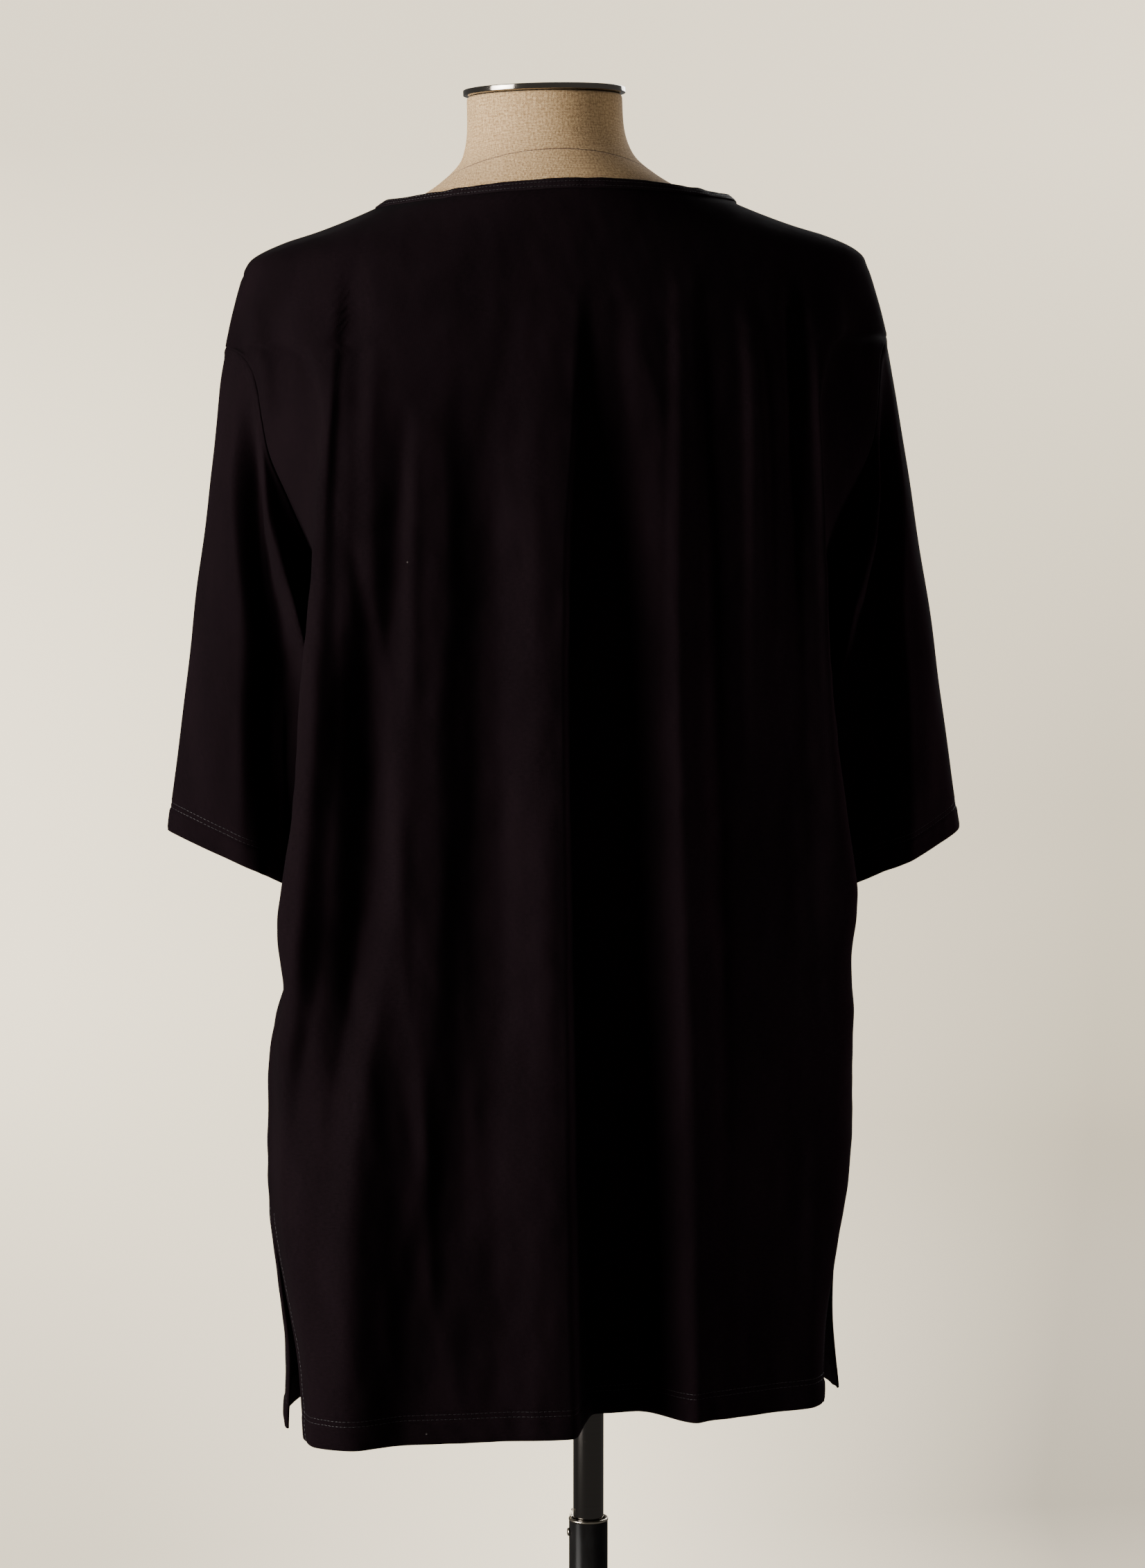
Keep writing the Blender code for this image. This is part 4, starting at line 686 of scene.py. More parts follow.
def panelPoint(face, across, z):
    faceSign = 1.0 if face == "back" else -1.0
    left = across >= 0
    reach = np.abs(across)
    side = np.where(left, 1.0, -1.0)
    square = bodyRows.at("square", z)
    middleY = bodyRows.at(face, z)
    flare = sided(left, sideSeam, ("leftFlare", "rightFlare"), z)
    seamX = sided(left, sideSeam, ("left", "right"), z) - faceSign * flare
    seamY = sided(left, sideSeam, ("leftY", "rightY"), z) + faceSign * sideSeam.at("gap", z)
    below = z < tunic["underarm"]
    hole = (z >= tunic["underarm"]) & (z < tunic["armholeTop"])
    holeY = armhole.at("depth", z)
    shoulderX = shoulder.at("x", z)
    endX = np.where(below, seamX, shoulderX)
    endY = np.where(below, seamY, 0.0)
    widest = np.where(below, endX, np.maximum(endX, tunic["tip"][0]))
    lastTurn = np.where(hole, np.arccos((holeY / np.abs(middleY)) ** (square / 2)), math.pi / 2)
    toShoulder = ease((z - 1.26) / (tunic["tip"][1] - 1.26))
    turn = mix(reach * math.pi / 2, np.arcsin(np.clip(reach, 0, 1)), toShoulder) * lastTurn / (math.pi / 2)
    plainX = widest * np.sin(turn) ** (2 / square)
    ratio = np.clip(plainX / endX, 0.0, 1.0)
    plainY = endY + (middleY - endY) * np.maximum(1.0 - ratio ** square, 0.0) ** (1 / square)
    miss = np.where(hole, armhole.at("x", z) - widest * np.sin(lastTurn) ** (2 / square), 0.0)
    plainX = plainX + miss * ease((reach - 0.7) / 0.3)
    edgeX = np.where(hole, armhole.at("x", z), endX)
    edgeY = np.where(hole, faceSign * holeY, endY)
    crestX = sided(left, sideFold, (face + "Left", face + "Right"), z)
    crestY = sideFold.at(face + "Y", z)
    innerTurn = np.minimum(reach / tunic["crestAt"], 1.0) * math.pi / 2
    outer = np.clip((reach - tunic["crestAt"]) / 0.16, 0.0, 1.0)
    foldX = mix(crestX * np.sin(innerTurn) ** (2 / square), edgeX, ease(outer))
    foldY = mix(crestY + (middleY - crestY) * np.maximum(np.cos(innerTurn), 0) ** (2 / square), edgeY, outer)
    share = sideFold.at("share", z)
    x, y = mix(plainX, foldX, share), mix(plainY, foldY, share)
    folds = backFolds if face == "back" else frontFolds
    y = y + faceSign * ease((1.0 - reach) / 0.12) * foldDepth(folds, x * side, z)
    return np.stack([tunic["middleX"] + x * side, y, z], axis=-1)


def neckReach():
    return (tunic["neckPoint"][0] / tunic["tip"][0]) ** (float(bodyRows.at("square", tunic["tip"][1])) / 2)


def topHeight(face, x):
    # The neckline is a rounded scoop between the neck points; outside them runs the shoulder line.
    pointX, pointZ = tunic["neckPoint"]
    share = np.clip(np.abs(x) / pointX, 0.0, 1.0)
    if face == "back":
        neck = pointZ + (tunic["napeZ"] - pointZ) * (1.0 - share ** 1.6)
    else:
        neck = pointZ - (pointZ - tunic["frontNeckZ"]) * (1.0 - share ** 2.2) ** 0.85
    heights = np.linspace(tunic["tip"][1], shoulder.where[-1], 400)
    line = np.interp(np.abs(x), shoulder.at("x", heights)[::-1], heights[::-1])
    return np.where(np.abs(x) < pointX, neck, line)


def spread(low, high, step):
    return np.linspace(low, high, max(2, int(round((high - low) / step)) + 1))[:-1]


def panelLevels():
    # Row heights at the side edge: close together in the hem and where the armhole turns.
    t = tunic
    return np.concatenate([
        spread(t["hemZ"], t["hemZ"] + 0.024, 0.0013), spread(t["hemZ"] + 0.024, t["slitTop"], t["rowStep"]),
        spread(t["slitTop"], t["underarm"], t["rowStep"]), spread(t["underarm"], 1.130, 0.0016),
        spread(1.130, 1.305, t["rowStep"]), spread(1.305, t["armholeTop"], 0.0016),
        spread(t["armholeTop"], t["tip"][1], 0.0040), [t["tip"][1]]])


def panelHeights(face, across, levels):
    # Rows follow the levels up to the fan height and then fan out to the neckline and shoulder line.
    t = tunic
    square = float(bodyRows.at("square", t["tip"][1]))
    top = topHeight(face, t["tip"][0] * np.abs(across) ** (2 / square))
    stretch = (top - t["fanZ"]) / (t["tip"][1] - t["fanZ"])
    drop = t["frontDrop"] if face == "front" else 0.0
    low = levels - drop * np.clip((t["slitTop"] - levels) / (t["slitTop"] - t["hemZ"]), 0.0, 1.0)
    return np.where(levels < t["fanZ"], low, t["fanZ"] + (levels - t["fanZ"]) * stretch)


def panelAcross(face):
    # Even lengths of cloth between the columns, closer at the two side edges, one on each neck point.
    fine = np.linspace(-1, 1, 3201)
    length = np.zeros_like(fine)
    for z in (0.60, 0.75, 1.05, 1.25):
        line = panelPoint(face, fine, np.full_like(fine, z))
        length[1:] += np.cumsum(np.linalg.norm(np.diff(line, axis=0), axis=1))
    length /= length[-1]
    edge = np.array([0.0, 0.0016, 0.0034, 0.0055, 0.0082, 0.0115])
    inside = np.linspace(edge[-1], 1 - edge[-1], tunic["columns"] - 9)[1:-1]
    steps = np.concatenate([edge, inside, 1 - edge[::-1]])
    across = np.interp(steps, length, fine)
    for place in (-neckReach(), neckReach()):
        across[np.argmin(np.abs(across - place))] = place
    return across


def leanOver(points, way=1.0):
    # Turns upright points about the socket by the lean to the wearer's left, or back with way -1.
    x, y, z = points[..., 0], points[..., 1], points[..., 2] - tunic["pivotZ"]
    c, s = math.cos(tunic["lean"]), way * math.sin(tunic["lean"])
    return np.stack([x * c + z * s, y, z * c - x * s + tunic["pivotZ"]], axis=-1)


# Creases: from (x, z) to (x, z), half width, depth, bow sideways at the middle of their length.
backCreases = [
    (0.1505, 1.094, 0.1337, 0.909, 0.006, 0.0012, 0.002), (0.134, 0.92, 0.119, 0.695, 0.007, 0.001, -0.003),
    (0.143, 1.015, 0.1365, 0.84, 0.004, 0.0009, 0.001), (0.1689, 1.2, 0.1524, 1.105, 0.0055, -0.0014, 0.001),
    (0.1564, 0.828, 0.1156, 0.613, 0.0075, 0.0011, 0.004), (0.1885, 0.9, 0.152, 0.73, 0.008, 0.0012, 0.003),
    (0.16, 0.7, 0.152, 0.59, 0.006, 0.0009, 0.001), (0.1675, 1.09, 0.1505, 0.99, 0.0055, -0.0012, -0.001),
    (0.1203, 1.27, 0.1286, 1.068, 0.005, 0.0012, 0.0), (0.0587, 1.4, 0.0678, 1.279, 0.007, 0.0007, 0.002),
    (0.129, 0.85, 0.126, 0.64, 0.005, 0.0012, 0.001), (0.096, 0.94, 0.09, 0.73, 0.006, 0.0008, -0.002),
    (0.118, 0.67, 0.109, 0.575, 0.009, 0.0014, 0.001), (0.206, 0.76, 0.196, 0.61, 0.008, -0.0008, 0.002),
    (-0.038, 0.67, -0.034, 0.572, 0.006, 0.0012, 0.0), (-0.076, 0.66, -0.074, 0.575, 0.006, 0.001, 0.001),
    (-0.097, 0.69, -0.098, 0.59, 0.006, 0.0009, 0.0), (-0.136, 1.23, -0.133, 1.06, 0.005, 0.0006, 0.001),
    (-0.03, 1.33, -0.036, 1.22, 0.006, 0.0007, 0.001), (0.217, 1.355, 0.214, 1.25, 0.006, 0.003, 0.0),
    (0.231, 1.35, 0.227, 1.29, 0.006, -0.0022, 0.0)]
frontCreases = [
    (0.07, 1.25, 0.083, 1.03, 0.006, 0.0011, 0.002), (0.135, 1.13, 0.127, 0.93, 0.0055, 0.0012, -0.001),
    (0.154, 0.9, 0.133, 0.69, 0.007, 0.0011, 0.003), (0.028, 1.09, 0.024, 0.83, 0.005, 0.0008, 0.001),
    (-0.029, 1.18, -0.036, 0.95, 0.0055, 0.001, -0.002), (-0.085, 1.23, -0.093, 1.01, 0.006, 0.0012, 0.001),
    (-0.123, 0.95, -0.129, 0.7, 0.006, 0.0009, 0.002), (-0.07, 0.71, -0.076, 0.59, 0.006, 0.001, 0.0),
    (0.075, 0.72, 0.069, 0.595, 0.007, 0.0012, 0.001), (0.16, 1.17, 0.148, 1.07, 0.005, -0.0012, 0.001)]


def creaseDepth(creases, x, z):
    # Distance d from a bowed line and place t along it: depth * e^-(d/width)^2, tapered at both ends.
    total = np.zeros_like(x)
    for x1, z1, x2, z2, width, depth, bow in creases:
        run = math.hypot(x2 - x1, z2 - z1)
        ax, az = (x2 - x1) / run, (z2 - z1) / run
        t = ((x - x1) * ax + (z - z1) * az) / run
        d = (x - x1) * az - (z - z1) * ax - bow * 4 * t * (1 - t)
        taper = ease(t / 0.25) * ease((1 - t) / 0.25)
        total += depth * taper * bell(d / width)
    return total


def hemRelief(distance, seed, along):
    # Two layers puff up between the edge and the stitch rows; both rows pull the cloth in.
    t = tunic
    puff = t["puff"] * ease(distance / 0.003) * (1 - ease((distance - t["hemDeep"] + 0.003) / 0.003))
    rows = bell((distance - t["hemDeep"]) / 0.0012) + bell((distance - t["hemDeep"] - t["rowGap"]) / 0.0012)
    pucker = 0.00035 * waves(along, along * 0, seed, 7, 0.012, 0.034) * bell((distance - 0.010) / 0.010)
    return puff - t["pull"] * rows + pucker


def hemDouble(distance):
    # 1 where the turned-in hem lies under the cloth, 0 above the upper stitch row.
    return 1 - ease((distance - tunic["hemDeep"] - tunic["rowGap"]) / 0.002)


def seamRidge(distance, height, width=0.0026):
    # The ridge that a seam's turnings make beside it: height * e^-(d/width)^2, down to 0 at the seam.
    return height * bell((distance - 0.0035) / width) * ease(distance / 0.0015)


def makePanel(face, creases, seed):
    t = tunic
    across = panelAcross(face)
    gridAcross, gridLevels = np.meshgrid(across, panelLevels())
    heights = panelHeights(face, gridAcross, gridLevels)
    grid = panelPoint(face, gridAcross, heights)
    if face == "back":
        grid = grid[:, ::-1]
    rel, z = grid[..., 0] - t["middleX"], grid[..., 2]
    normal = gridNormals(grid)
    up = runLengths(grid, 0)
    along = runLengths(grid, 1)
    fromSide = np.minimum(along, along[:, -1:] - along)
    fromTop = up[-1:] - up
    inner = ease(fromSide / 0.020) * ease(fromTop / 0.014)
    push = creaseDepth(creases, rel, z) * inner
    push += 0.00026 * waves(rel * 2.6, z * 0.55, seed, 14, 0.035, 0.11) * inner * ease((1.40 - z) / 0.12)
    push += 0.00018 * waves(rel, z * 0.7, seed + 5, 16, 0.012, 0.030) * inner
    push += hemRelief(up, seed + 1, along) * ease(fromSide / 0.004)
    slit = (1 - ease((z - t["slitTop"] + 0.004) / 0.008))
    push += slit * (0.0004 * ease(fromSide / 0.002) * (1 - ease((fromSide - 0.009) / 0.003))
                    - 0.0003 * bell((fromSide - t["slitDeep"]) / 0.0013))
    seamSide = ease((z - t["slitTop"]) / 0.008)
    push += seamRidge(fromSide, seamSide * 0.0007)
    overShoulder = np.abs(rel[-1]) > t["neckPoint"][0] - 1e-6
    push += np.where(overShoulder[None], seamRidge(fromTop, 0.0005), 0.0)
    grid = leanOver(grid + normal * push[..., None])
    double = np.maximum(hemDouble(up), slit * (1 - ease((fromSide - t["slitDeep"]) / 0.002)))
    thick = t["wall"] * (1 + t["double"] * double)
    middle = along - along[:, [int(np.argmin(np.abs(rel[0])))]]
    piece = clothShell(face + "Panel", grid, thick, middle, up, jerseyFinish)
    return {"piece": piece, "grid": grid, "normal": gridNormals(grid), "up": up, "along": along,
            "over": overShoulder}


panels = {"back": makePanel("back", backCreases, 11), "front": makePanel("front", frontCreases, 31)}
print("panels made, cloth area", [clothArea(made["grid"]) for made in panels.values()])


# Sleeves.
# A ring's ends move along the sleeve; round the ring both coordinates are powers of sine and cosine.
sleeves = {
    "left": {"side": 1.0, "outerLift": 0.0125, "innerLift": 0.0100, "seed": 51},
    "right": {"side": -1.0, "outerLift": -0.0070, "innerLift": -0.0005, "seed": 61},
}
sleeveSize = {"around": 156, "rings": 118, "blend": 0.3}
sleeveRows = Rows(("along", "topX", "topZ", "underX", "underZ", "half", "square"), [
    (0.00, 0.2347, 1.3170, 0.1580, 1.1200, 0.0480, 2.4), (0.10, 0.2405, 1.2835, 0.1650, 1.1000, 0.0500, 2.2),
    (0.30, 0.2503, 1.2060, 0.1690, 1.0600, 0.0520, 2.1), (0.54, 0.2622, 1.1275, 0.1720, 1.0060, 0.0510, 2.0),
    (0.80, 0.2755, 1.0350, 0.1680, 0.9520, 0.0460, 1.85), (1.00, 0.2850, 0.9700, 0.1640, 0.9140, 0.0400, 1.6)])
sleeveFoldColumns = ("along", "turn", "half", "depth")
sleeveFolds = {
    "backValley": [(0.00, 48.0, 24.0, -0.004), (0.10, 52.0, 26.0, -0.014), (0.175, 60.0, 28.0, -0.016),
                   (0.30, 82.0, 34.0, -0.017), (0.41, 98.0, 38.0, -0.018), (0.65, 106.0, 40.0, -0.018),
                   (0.87, 112.0, 42.0, -0.014), (1.00, 112.0, 40.0, -0.006)],
    "backRidge": [(0.00, 66.0, 14.0, 0.0), (0.05, 74.0, 15.0, 0.008), (0.175, 88.0, 16.0, 0.008),
                  (0.29, 106.0, 16.0, 0.006), (0.38, 118.0, 18.0, 0.0)],
    "frontValley": [(0.00, 300.0, 24.0, 0.0), (0.30, 298.0, 32.0, -0.010), (0.70, 288.0, 34.0, -0.010),
                    (1.00, 282.0, 30.0, -0.003)],
    "frontRidge": [(0.00, 262.0, 24.0, 0.0), (0.45, 252.0, 28.0, 0.005), (1.00, 240.0, 24.0, 0.0)],
}


def armholeCurve():
    # The seam from the top down the back to the underarm and up the front, with its share of turn.
    down = np.concatenate([armhole.where[::-1], np.linspace(1.3170, 1.1200, 160)])
    down = np.unique(down)[::-1]
    back = np.stack([armhole.at("x", down), armhole.at("depth", down), down], axis=-1)
    loop = np.concatenate([back, back[-2::-1] * np.array([1.0, -1.0, 1.0])])
    walked = runLengths(loop, 0)
    return loop, walked / walked[-1] * 2 * math.pi


def sleevePoint(along, turn):
    half = sleeveRows.at("half", along)
    topX, topZ = sleeveRows.at("topX", along), sleeveRows.at("topZ", along)
    underX, underZ = sleeveRows.at("underX", along), sleeveRows.at("underZ", along)
    power = 2 / sleeveRows.at("square", along)
    up, back = powered(np.cos(turn), power), powered(np.sin(turn), power)
    return np.stack([(topX + underX) / 2 + up * (topX - underX) / 2, back * half,
                     (topZ + underZ) / 2 + up * (topZ - underZ) / 2], axis=-1)


def makeSleeve(name, settings):
    loop, loopTurn = armholeCurve()
    turn = circle(sleeveSize["around"])
    along = np.concatenate([[0.0, 0.004, 0.008, 0.013, 0.020, 0.028],
                            np.linspace(0.028, 0.93, sleeveSize["rings"] - 24)[1:], np.linspace(0.93, 1.0, 20)[1:]])
    gridTurn, gridAlong = np.meshgrid(turn, along)
    grid = sleevePoint(gridAlong, gridTurn)
    seam = onLine(turn, loopTurn, loop)
    grid = grid + (seam - grid[0])[None] * (1.0 - ease(gridAlong / sleeveSize["blend"]))[..., None]
    outward = -gridNormals(grid, True)
    degrees = np.degrees(gridTurn)
    push = np.zeros_like(gridTurn)
    for rows in sleeveFolds.values():
        fold = Rows(sleeveFoldColumns, rows)
        width = fold.at("half", gridAlong)
        push += fold.at("depth", gridAlong) * foldShape(degrees - fold.at("turn", gridAlong), width, width)
    push *= ease(gridAlong / 0.18)
    grid = grid + outward * push[..., None]
    grid[..., 2] += mix(settings["innerLift"], settings["outerLift"], (1 + np.cos(gridTurn)) / 2) * gridAlong
    outward = -gridNormals(grid, True)
    down = runLengths(grid, 0)
    toCuff = down[-1:] - down
    around = runLengths(comeRound(grid, 1), 1)
    relief = hemRelief(toCuff, settings["seed"], around[:, :-1])
    relief += seamRidge(down, 0.0008, 0.0028)
    roundWay = np.cos(gridTurn) * 0.12 + np.sin(gridTurn) * 0.06
    ripple = 0.0005 * waves(roundWay, down * 0.35, settings["seed"], 12, 0.02, 0.07)
    relief += ripple * ease(down / 0.03)
    grid = grid + outward * relief[..., None]
    u, v = around, comeRound(down, 1)
    if settings["side"] > 0:
        grid, u, v = grid[:, ::-1], u[:, ::-1], v[:, ::-1]
    grid = grid * np.array([settings["side"], 1.0, 1.0])
    grid = leanOver(grid + np.array([tunic["middleX"], 0.0, 0.0]))
    if settings["side"] > 0:
        toCuff = toCuff[:, ::-1]
    thick = tunic["wall"] * (1 + tunic["double"] * hemDouble(toCuff))
    piece = clothShell(name, grid, thick, u, -v, jerseyFinish, closed=True)
    return {"piece": piece, "grid": grid, "normal": gridNormals(grid, True), "toCuff": toCuff}


sleeveMade = {key: makeSleeve("sleeve" + key.capitalize(), value) for key, value in sleeves.items()}
print("sleeves made, cloth area", [clothArea(comeRound(made["grid"], 1)) for made in sleeveMade.values()])


# Neck binding.
# A folded strip that stands on both necklines: its section is a rounded bar with two sewn dents.
binding = {"width": 0.0075, "thick": 0.0021, "stitchAt": (0.0014, 0.0046)}


def neckLoop():
    edges, outs = [], []
    for face in ("back", "front"):
        made = panels[face]
        inside = ~made["over"]
        inside |= np.roll(inside, 1) | np.roll(inside, -1)
        edges.append(made["grid"][-1, inside])
        outs.append(made["normal"][-1, inside])
    loop = np.concatenate([edges[0], edges[1]])
    out = np.concatenate([outs[0], outs[1]])
    return loop, out


def smoothLoop(values, times):
    for _ in range(times):
        values = (np.roll(values, 1, axis=0) + values * 2 + np.roll(values, -1, axis=0)) / 4
    return values


def makeBinding():
    loop, out = neckLoop()
    closedLoop = comeRound(loop)
    walked = runLengths(closedLoop, 0)
    even = np.linspace(0, walked[-1], 420, endpoint=False)
    line = smoothLoop(onLine(even, walked, closedLoop), 3)
    out = unit(smoothLoop(onLine(even, walked, comeRound(out)), 12))
    tangent = unit(smoothLoop(np.roll(line, -1, axis=0) - np.roll(line, 1, axis=0), 3))
    carry = unit(np.cross(tangent, out))
    if carry[105, 2] < 0:
        carry = -carry
    out = unit(out - tangent * (out * tangent).sum(axis=1, keepdims=True))
    turn = circle(28)
    wide, thick = binding["width"], binding["thick"]
    rise = powered(np.cos(turn), 0.7) * wide / 2 + wide / 2 - 0.0004
    proud = powered(np.sin(turn), 0.7) * thick / 2 + 0.0002
    dent = sum(0.00035 * bell((rise - at) / 0.0008) for at in binding["stitchAt"])
    proud = proud - dent * np.sign(np.sin(turn))
    ripple = 0.00022 * waves(even, even * 0, 77, 9, 0.008, 0.030)
    grid = (line[:, None] + carry[:, None] * (rise[None] + ripple[:, None] * 0.6)[..., None]
            + out[:, None] * (proud[None] + ripple[:, None])[..., None])
    grid = np.transpose(grid, (1, 0, 2))
    points = grid.reshape(-1, 3)
    rows, columns = grid.shape[:2]
    r, c = np.meshgrid(np.arange(rows), np.arange(columns), indexing="ij")
    rr, cc = (r + 1) % rows, (c + 1) % columns
    faces = np.stack([r * columns + c, r * columns + cc, rr * columns + cc, rr * columns + c], axis=-1).reshape(-1, 4)
    section = np.concatenate([[0], np.cumsum(np.hypot(np.diff(rise), np.diff(proud)))])
    section = np.append(section, section[-1] + 0.0004)
    evenEnd = np.append(even, walked[-1])
    u0, v0 = evenEnd[c], section[r]
    u1, v1 = evenEnd[c + 1], section[r + 1]
    uvs = np.stack([np.stack([v0, u0], -1), np.stack([v0, u1], -1), np.stack([v1, u1], -1), np.stack([v1, u0], -1)],
                   axis=2).reshape(-1, 4, 2)
    middle = line + carry * wide / 2
    first = grid[0, 0] - middle[0]
    outsideIn = np.dot(np.cross(grid[0, 1] - grid[0, 0], grid[1, 0] - grid[0, 0]), first) < 0
    if outsideIn:
        faces, uvs = faces[:, ::-1], uvs[:, ::-1]
    piece = fillMesh("neckBinding", points, faces, bindingFinish, uvs)
    return {"piece": piece, "line": line, "carry": carry, "out": out, "length": float(walked[-1])}


collar = makeBinding()
print("binding made, length", round(collar["length"], 3))


# Stitching.
stitches = {"pitch": 0.0031, "length": 0.0027, "wide": 0.00048, "tall": 0.00040, "lift": 0.00004}


def gridPath(made, rowAt, columns=None):
    # Points and normals of the grid at a fractional row for each column.
    grid, normal = made["grid"], made["normal"]
    columns = np.arange(grid.shape[1]) if columns is None else columns
    low = np.clip(np.floor(rowAt).astype(int), 0, grid.shape[0] - 2)
    share = (rowAt - low)[:, None]
    return (mix(grid[low, columns], grid[low + 1, columns], share),
            unit(mix(normal[low, columns], normal[low + 1, columns], share)))


def rowAtDistance(distance, wanted):
    # distance rises down every column; where each column reaches wanted, as a fractional row.
    index = np.arange(distance.shape[0])
    return np.array([np.interp(wanted, distance[:, c], index) for c in range(distance.shape[1])])


def sewn(path, normals, seed, settings=stitches, **changes):
    s = dict(settings, **changes)
    return stitchRun(path, normals, s["pitch"], s["length"], s["wide"], s["tall"], s["lift"], seed)


def panelStitches(face, made, seed):
    runs = []
    t = tunic
    for k in range(2):
        path, normals = gridPath(made, rowAtDistance(made["up"], t["hemDeep"] + k * t["rowGap"]))
        runs.append(sewn(path[3:-3], normals[3:-3], seed + k))
    z = leanOver(made["grid"], -1.0)[..., 2]
    for k, flip in enumerate((False, True)):
        along = made["along"][:, -1:] - made["along"] if flip else made["along"]
        grid, normal, height = made["grid"], made["normal"], z[:, -1 if flip else 0]
        if flip:
            along, grid, normal = along[:, ::-1], grid[:, ::-1], normal[:, ::-1]
        turnedIn = {"grid": np.swapaxes(grid, 0, 1), "normal": np.swapaxes(normal, 0, 1)}
        path, normals = gridPath(turnedIn, rowAtDistance(np.swapaxes(along, 0, 1), t["slitDeep"]))
        keep = height < t["slitTop"] + 0.004
        runs.append(sewn(path[keep], normals[keep], seed + 4 + k))
    return joinRuns(face + "Stitches", runs, threadFinish)


def sleeveStitches(name, made, seed):
    runs = []
    for k in range(2):
        distance = made["toCuff"][::-1]
        flipped = {"grid": made["grid"][::-1], "normal": made["normal"][::-1]}
        path, normals = gridPath(flipped, rowAtDistance(distance, tunic["hemDeep"] + k * tunic["rowGap"]))
        runs.append(sewn(comeRound(path), comeRound(normals), seed + k))
    return joinRuns(name + "Stitches", runs, threadFinish)


def bindingStitches(made):
    runs = []
    for k, at in enumerate(binding["stitchAt"]):
        path = made["line"] + made["carry"] * at + made["out"] * (binding["thick"] / 2 + 0.0002 - 0.00025)
        runs.append(sewn(comeRound(path), comeRound(made["out"]), 91 + k, pitch=0.0026, length=0.0021))
    return joinRuns("bindingStitches", runs, threadFinish)


panelSewing = {face: panelStitches(face, made, 200 + 20 * k) for k, (face, made) in enumerate(panels.items())}
sleeveSewing = {key: sleeveStitches("sleeve" + key.capitalize(), made, 300 + 20 * k)
                for k, (key, made) in enumerate(sleeveMade.items())}
bindingSewing = bindingStitches(collar)
print("stitches made")


# The dress form.
# Rings of superellipses, back and front of different depth; the top edge is rounded under the cap.
form = {"bottom": 0.800, "top": 1.4882, "round": 0.0026, "shiftX": 0.0050, "rings": 250, "around": 190}
formRows = Rows(("z", "half", "back", "front", "square"), [
    (0.800, 0.1500, 0.0880, -0.0980, 2.3), (0.845, 0.1540, 0.0900, -0.1020, 2.3),
    (0.900, 0.1450, 0.0880, -0.0990, 2.3), (0.960, 0.1290, 0.0800, -0.0920, 2.2),
    (1.020, 0.1200, 0.0760, -0.0880, 2.2), (1.080, 0.1240, 0.0790, -0.0960, 2.2),
    (1.150, 0.1380, 0.0860, -0.1140, 2.2), (1.220, 0.1520, 0.0920, -0.1270, 2.2),
    (1.270, 0.1720, 0.0950, -0.1230, 2.1), (1.310, 0.2060, 0.0990, -0.1120, 2.0),
    (1.335, 0.2190, 0.1005, -0.0990, 1.9), (1.352, 0.2190, 0.0980, -0.0900, 1.9),
    (1.364, 0.2150, 0.0950, -0.0830, 1.9), (1.374, 0.2050, 0.0925, -0.0770, 1.9),
    (1.382, 0.1900, 0.0905, -0.0700, 1.9), (1.390, 0.1670, 0.0880, -0.0630, 1.9),
    (1.400, 0.1350, 0.0850, -0.0570, 1.9), (1.410, 0.1090, 0.0810, -0.0550, 1.9),
    (1.418, 0.0940, 0.0780, -0.0560, 2.0), (1.425, 0.0820, 0.0740, -0.0610, 2.0),
    (1.433, 0.0710, 0.0680, -0.0630, 2.0), (1.442, 0.0620, 0.0600, -0.0670, 2.0),
    (1.452, 0.0575, 0.0510, -0.0700, 2.0), (1.466, 0.0550, 0.0430, -0.0700, 2.0),
    (1.4882, 0.0545, 0.0395, -0.0695, 2.0)])


def formPoint(z, turn, inset):
    power = 2 / formRows.at("square", z)
    backY, frontY = formRows.at("back", z) - inset, formRows.at("front", z) + inset
    upper = ease((z - 1.38) / 0.06)
    middleY = (backY + frontY) / 2 * upper
    across, behind = powered(np.cos(turn), power), powered(np.sin(turn), power)
    reach = np.where(behind > 0, backY - middleY, middleY - frontY)
    return np.stack([tunic["middleX"] + form["shiftX"] * upper + across * (formRows.at("half", z) - inset),
                     middleY + behind * reach, z], axis=-1)


def makeTorso():
    heights = np.concatenate([np.linspace(form["bottom"], form["bottom"] + 0.004, 5)[:-1],
                              np.linspace(form["bottom"] + 0.004, 1.36, 130)[:-1],
                              np.linspace(1.36, form["top"] - form["round"], 95)[:-1],
                              form["top"] - form["round"] * (1 - np.sin(np.linspace(0, math.pi / 2, 9)))])
    turn = circle(form["around"]) + math.pi / 2
    gridTurn, gridZ = np.meshgrid(turn, heights)
    near = np.clip((gridZ - (form["top"] - form["round"])) / form["round"], 0, 1)
    low = np.clip(1 - (gridZ - form["bottom"]) / 0.004, 0, 1)
    inset = form["round"] * (1 - np.sqrt(1 - near ** 2)) + 0.004 * (1 - np.sqrt(1 - low ** 2))
    grid = leanOver(formPoint(gridZ, gridTurn, inset))
    rows, columns = grid.shape[:2]
    around = runLengths(comeRound(grid, 1), 1)
    around = np.where(np.arange(columns + 1)[None] > columns // 2, around - around[:, -1:], around)
    down = runLengths(grid[::-1], 0)[::-1]
    down = comeRound(down, 1)
    points = np.concatenate([grid.reshape(-1, 3), [grid[0].mean(axis=0)], [grid[-1].mean(axis=0)]])
    quads = gridFaces(rows, columns, True)
    caps = endFans(rows, columns, rows * columns, rows * columns + 1)
    side = gridUvs(around, down).reshape(-1, 2)
    flat = points[caps][..., :2].reshape(-1, 2)
    return fillMesh("formTorso", points, [quads, caps], linenFinish, np.concatenate([side, flat]))


torso = makeTorso()


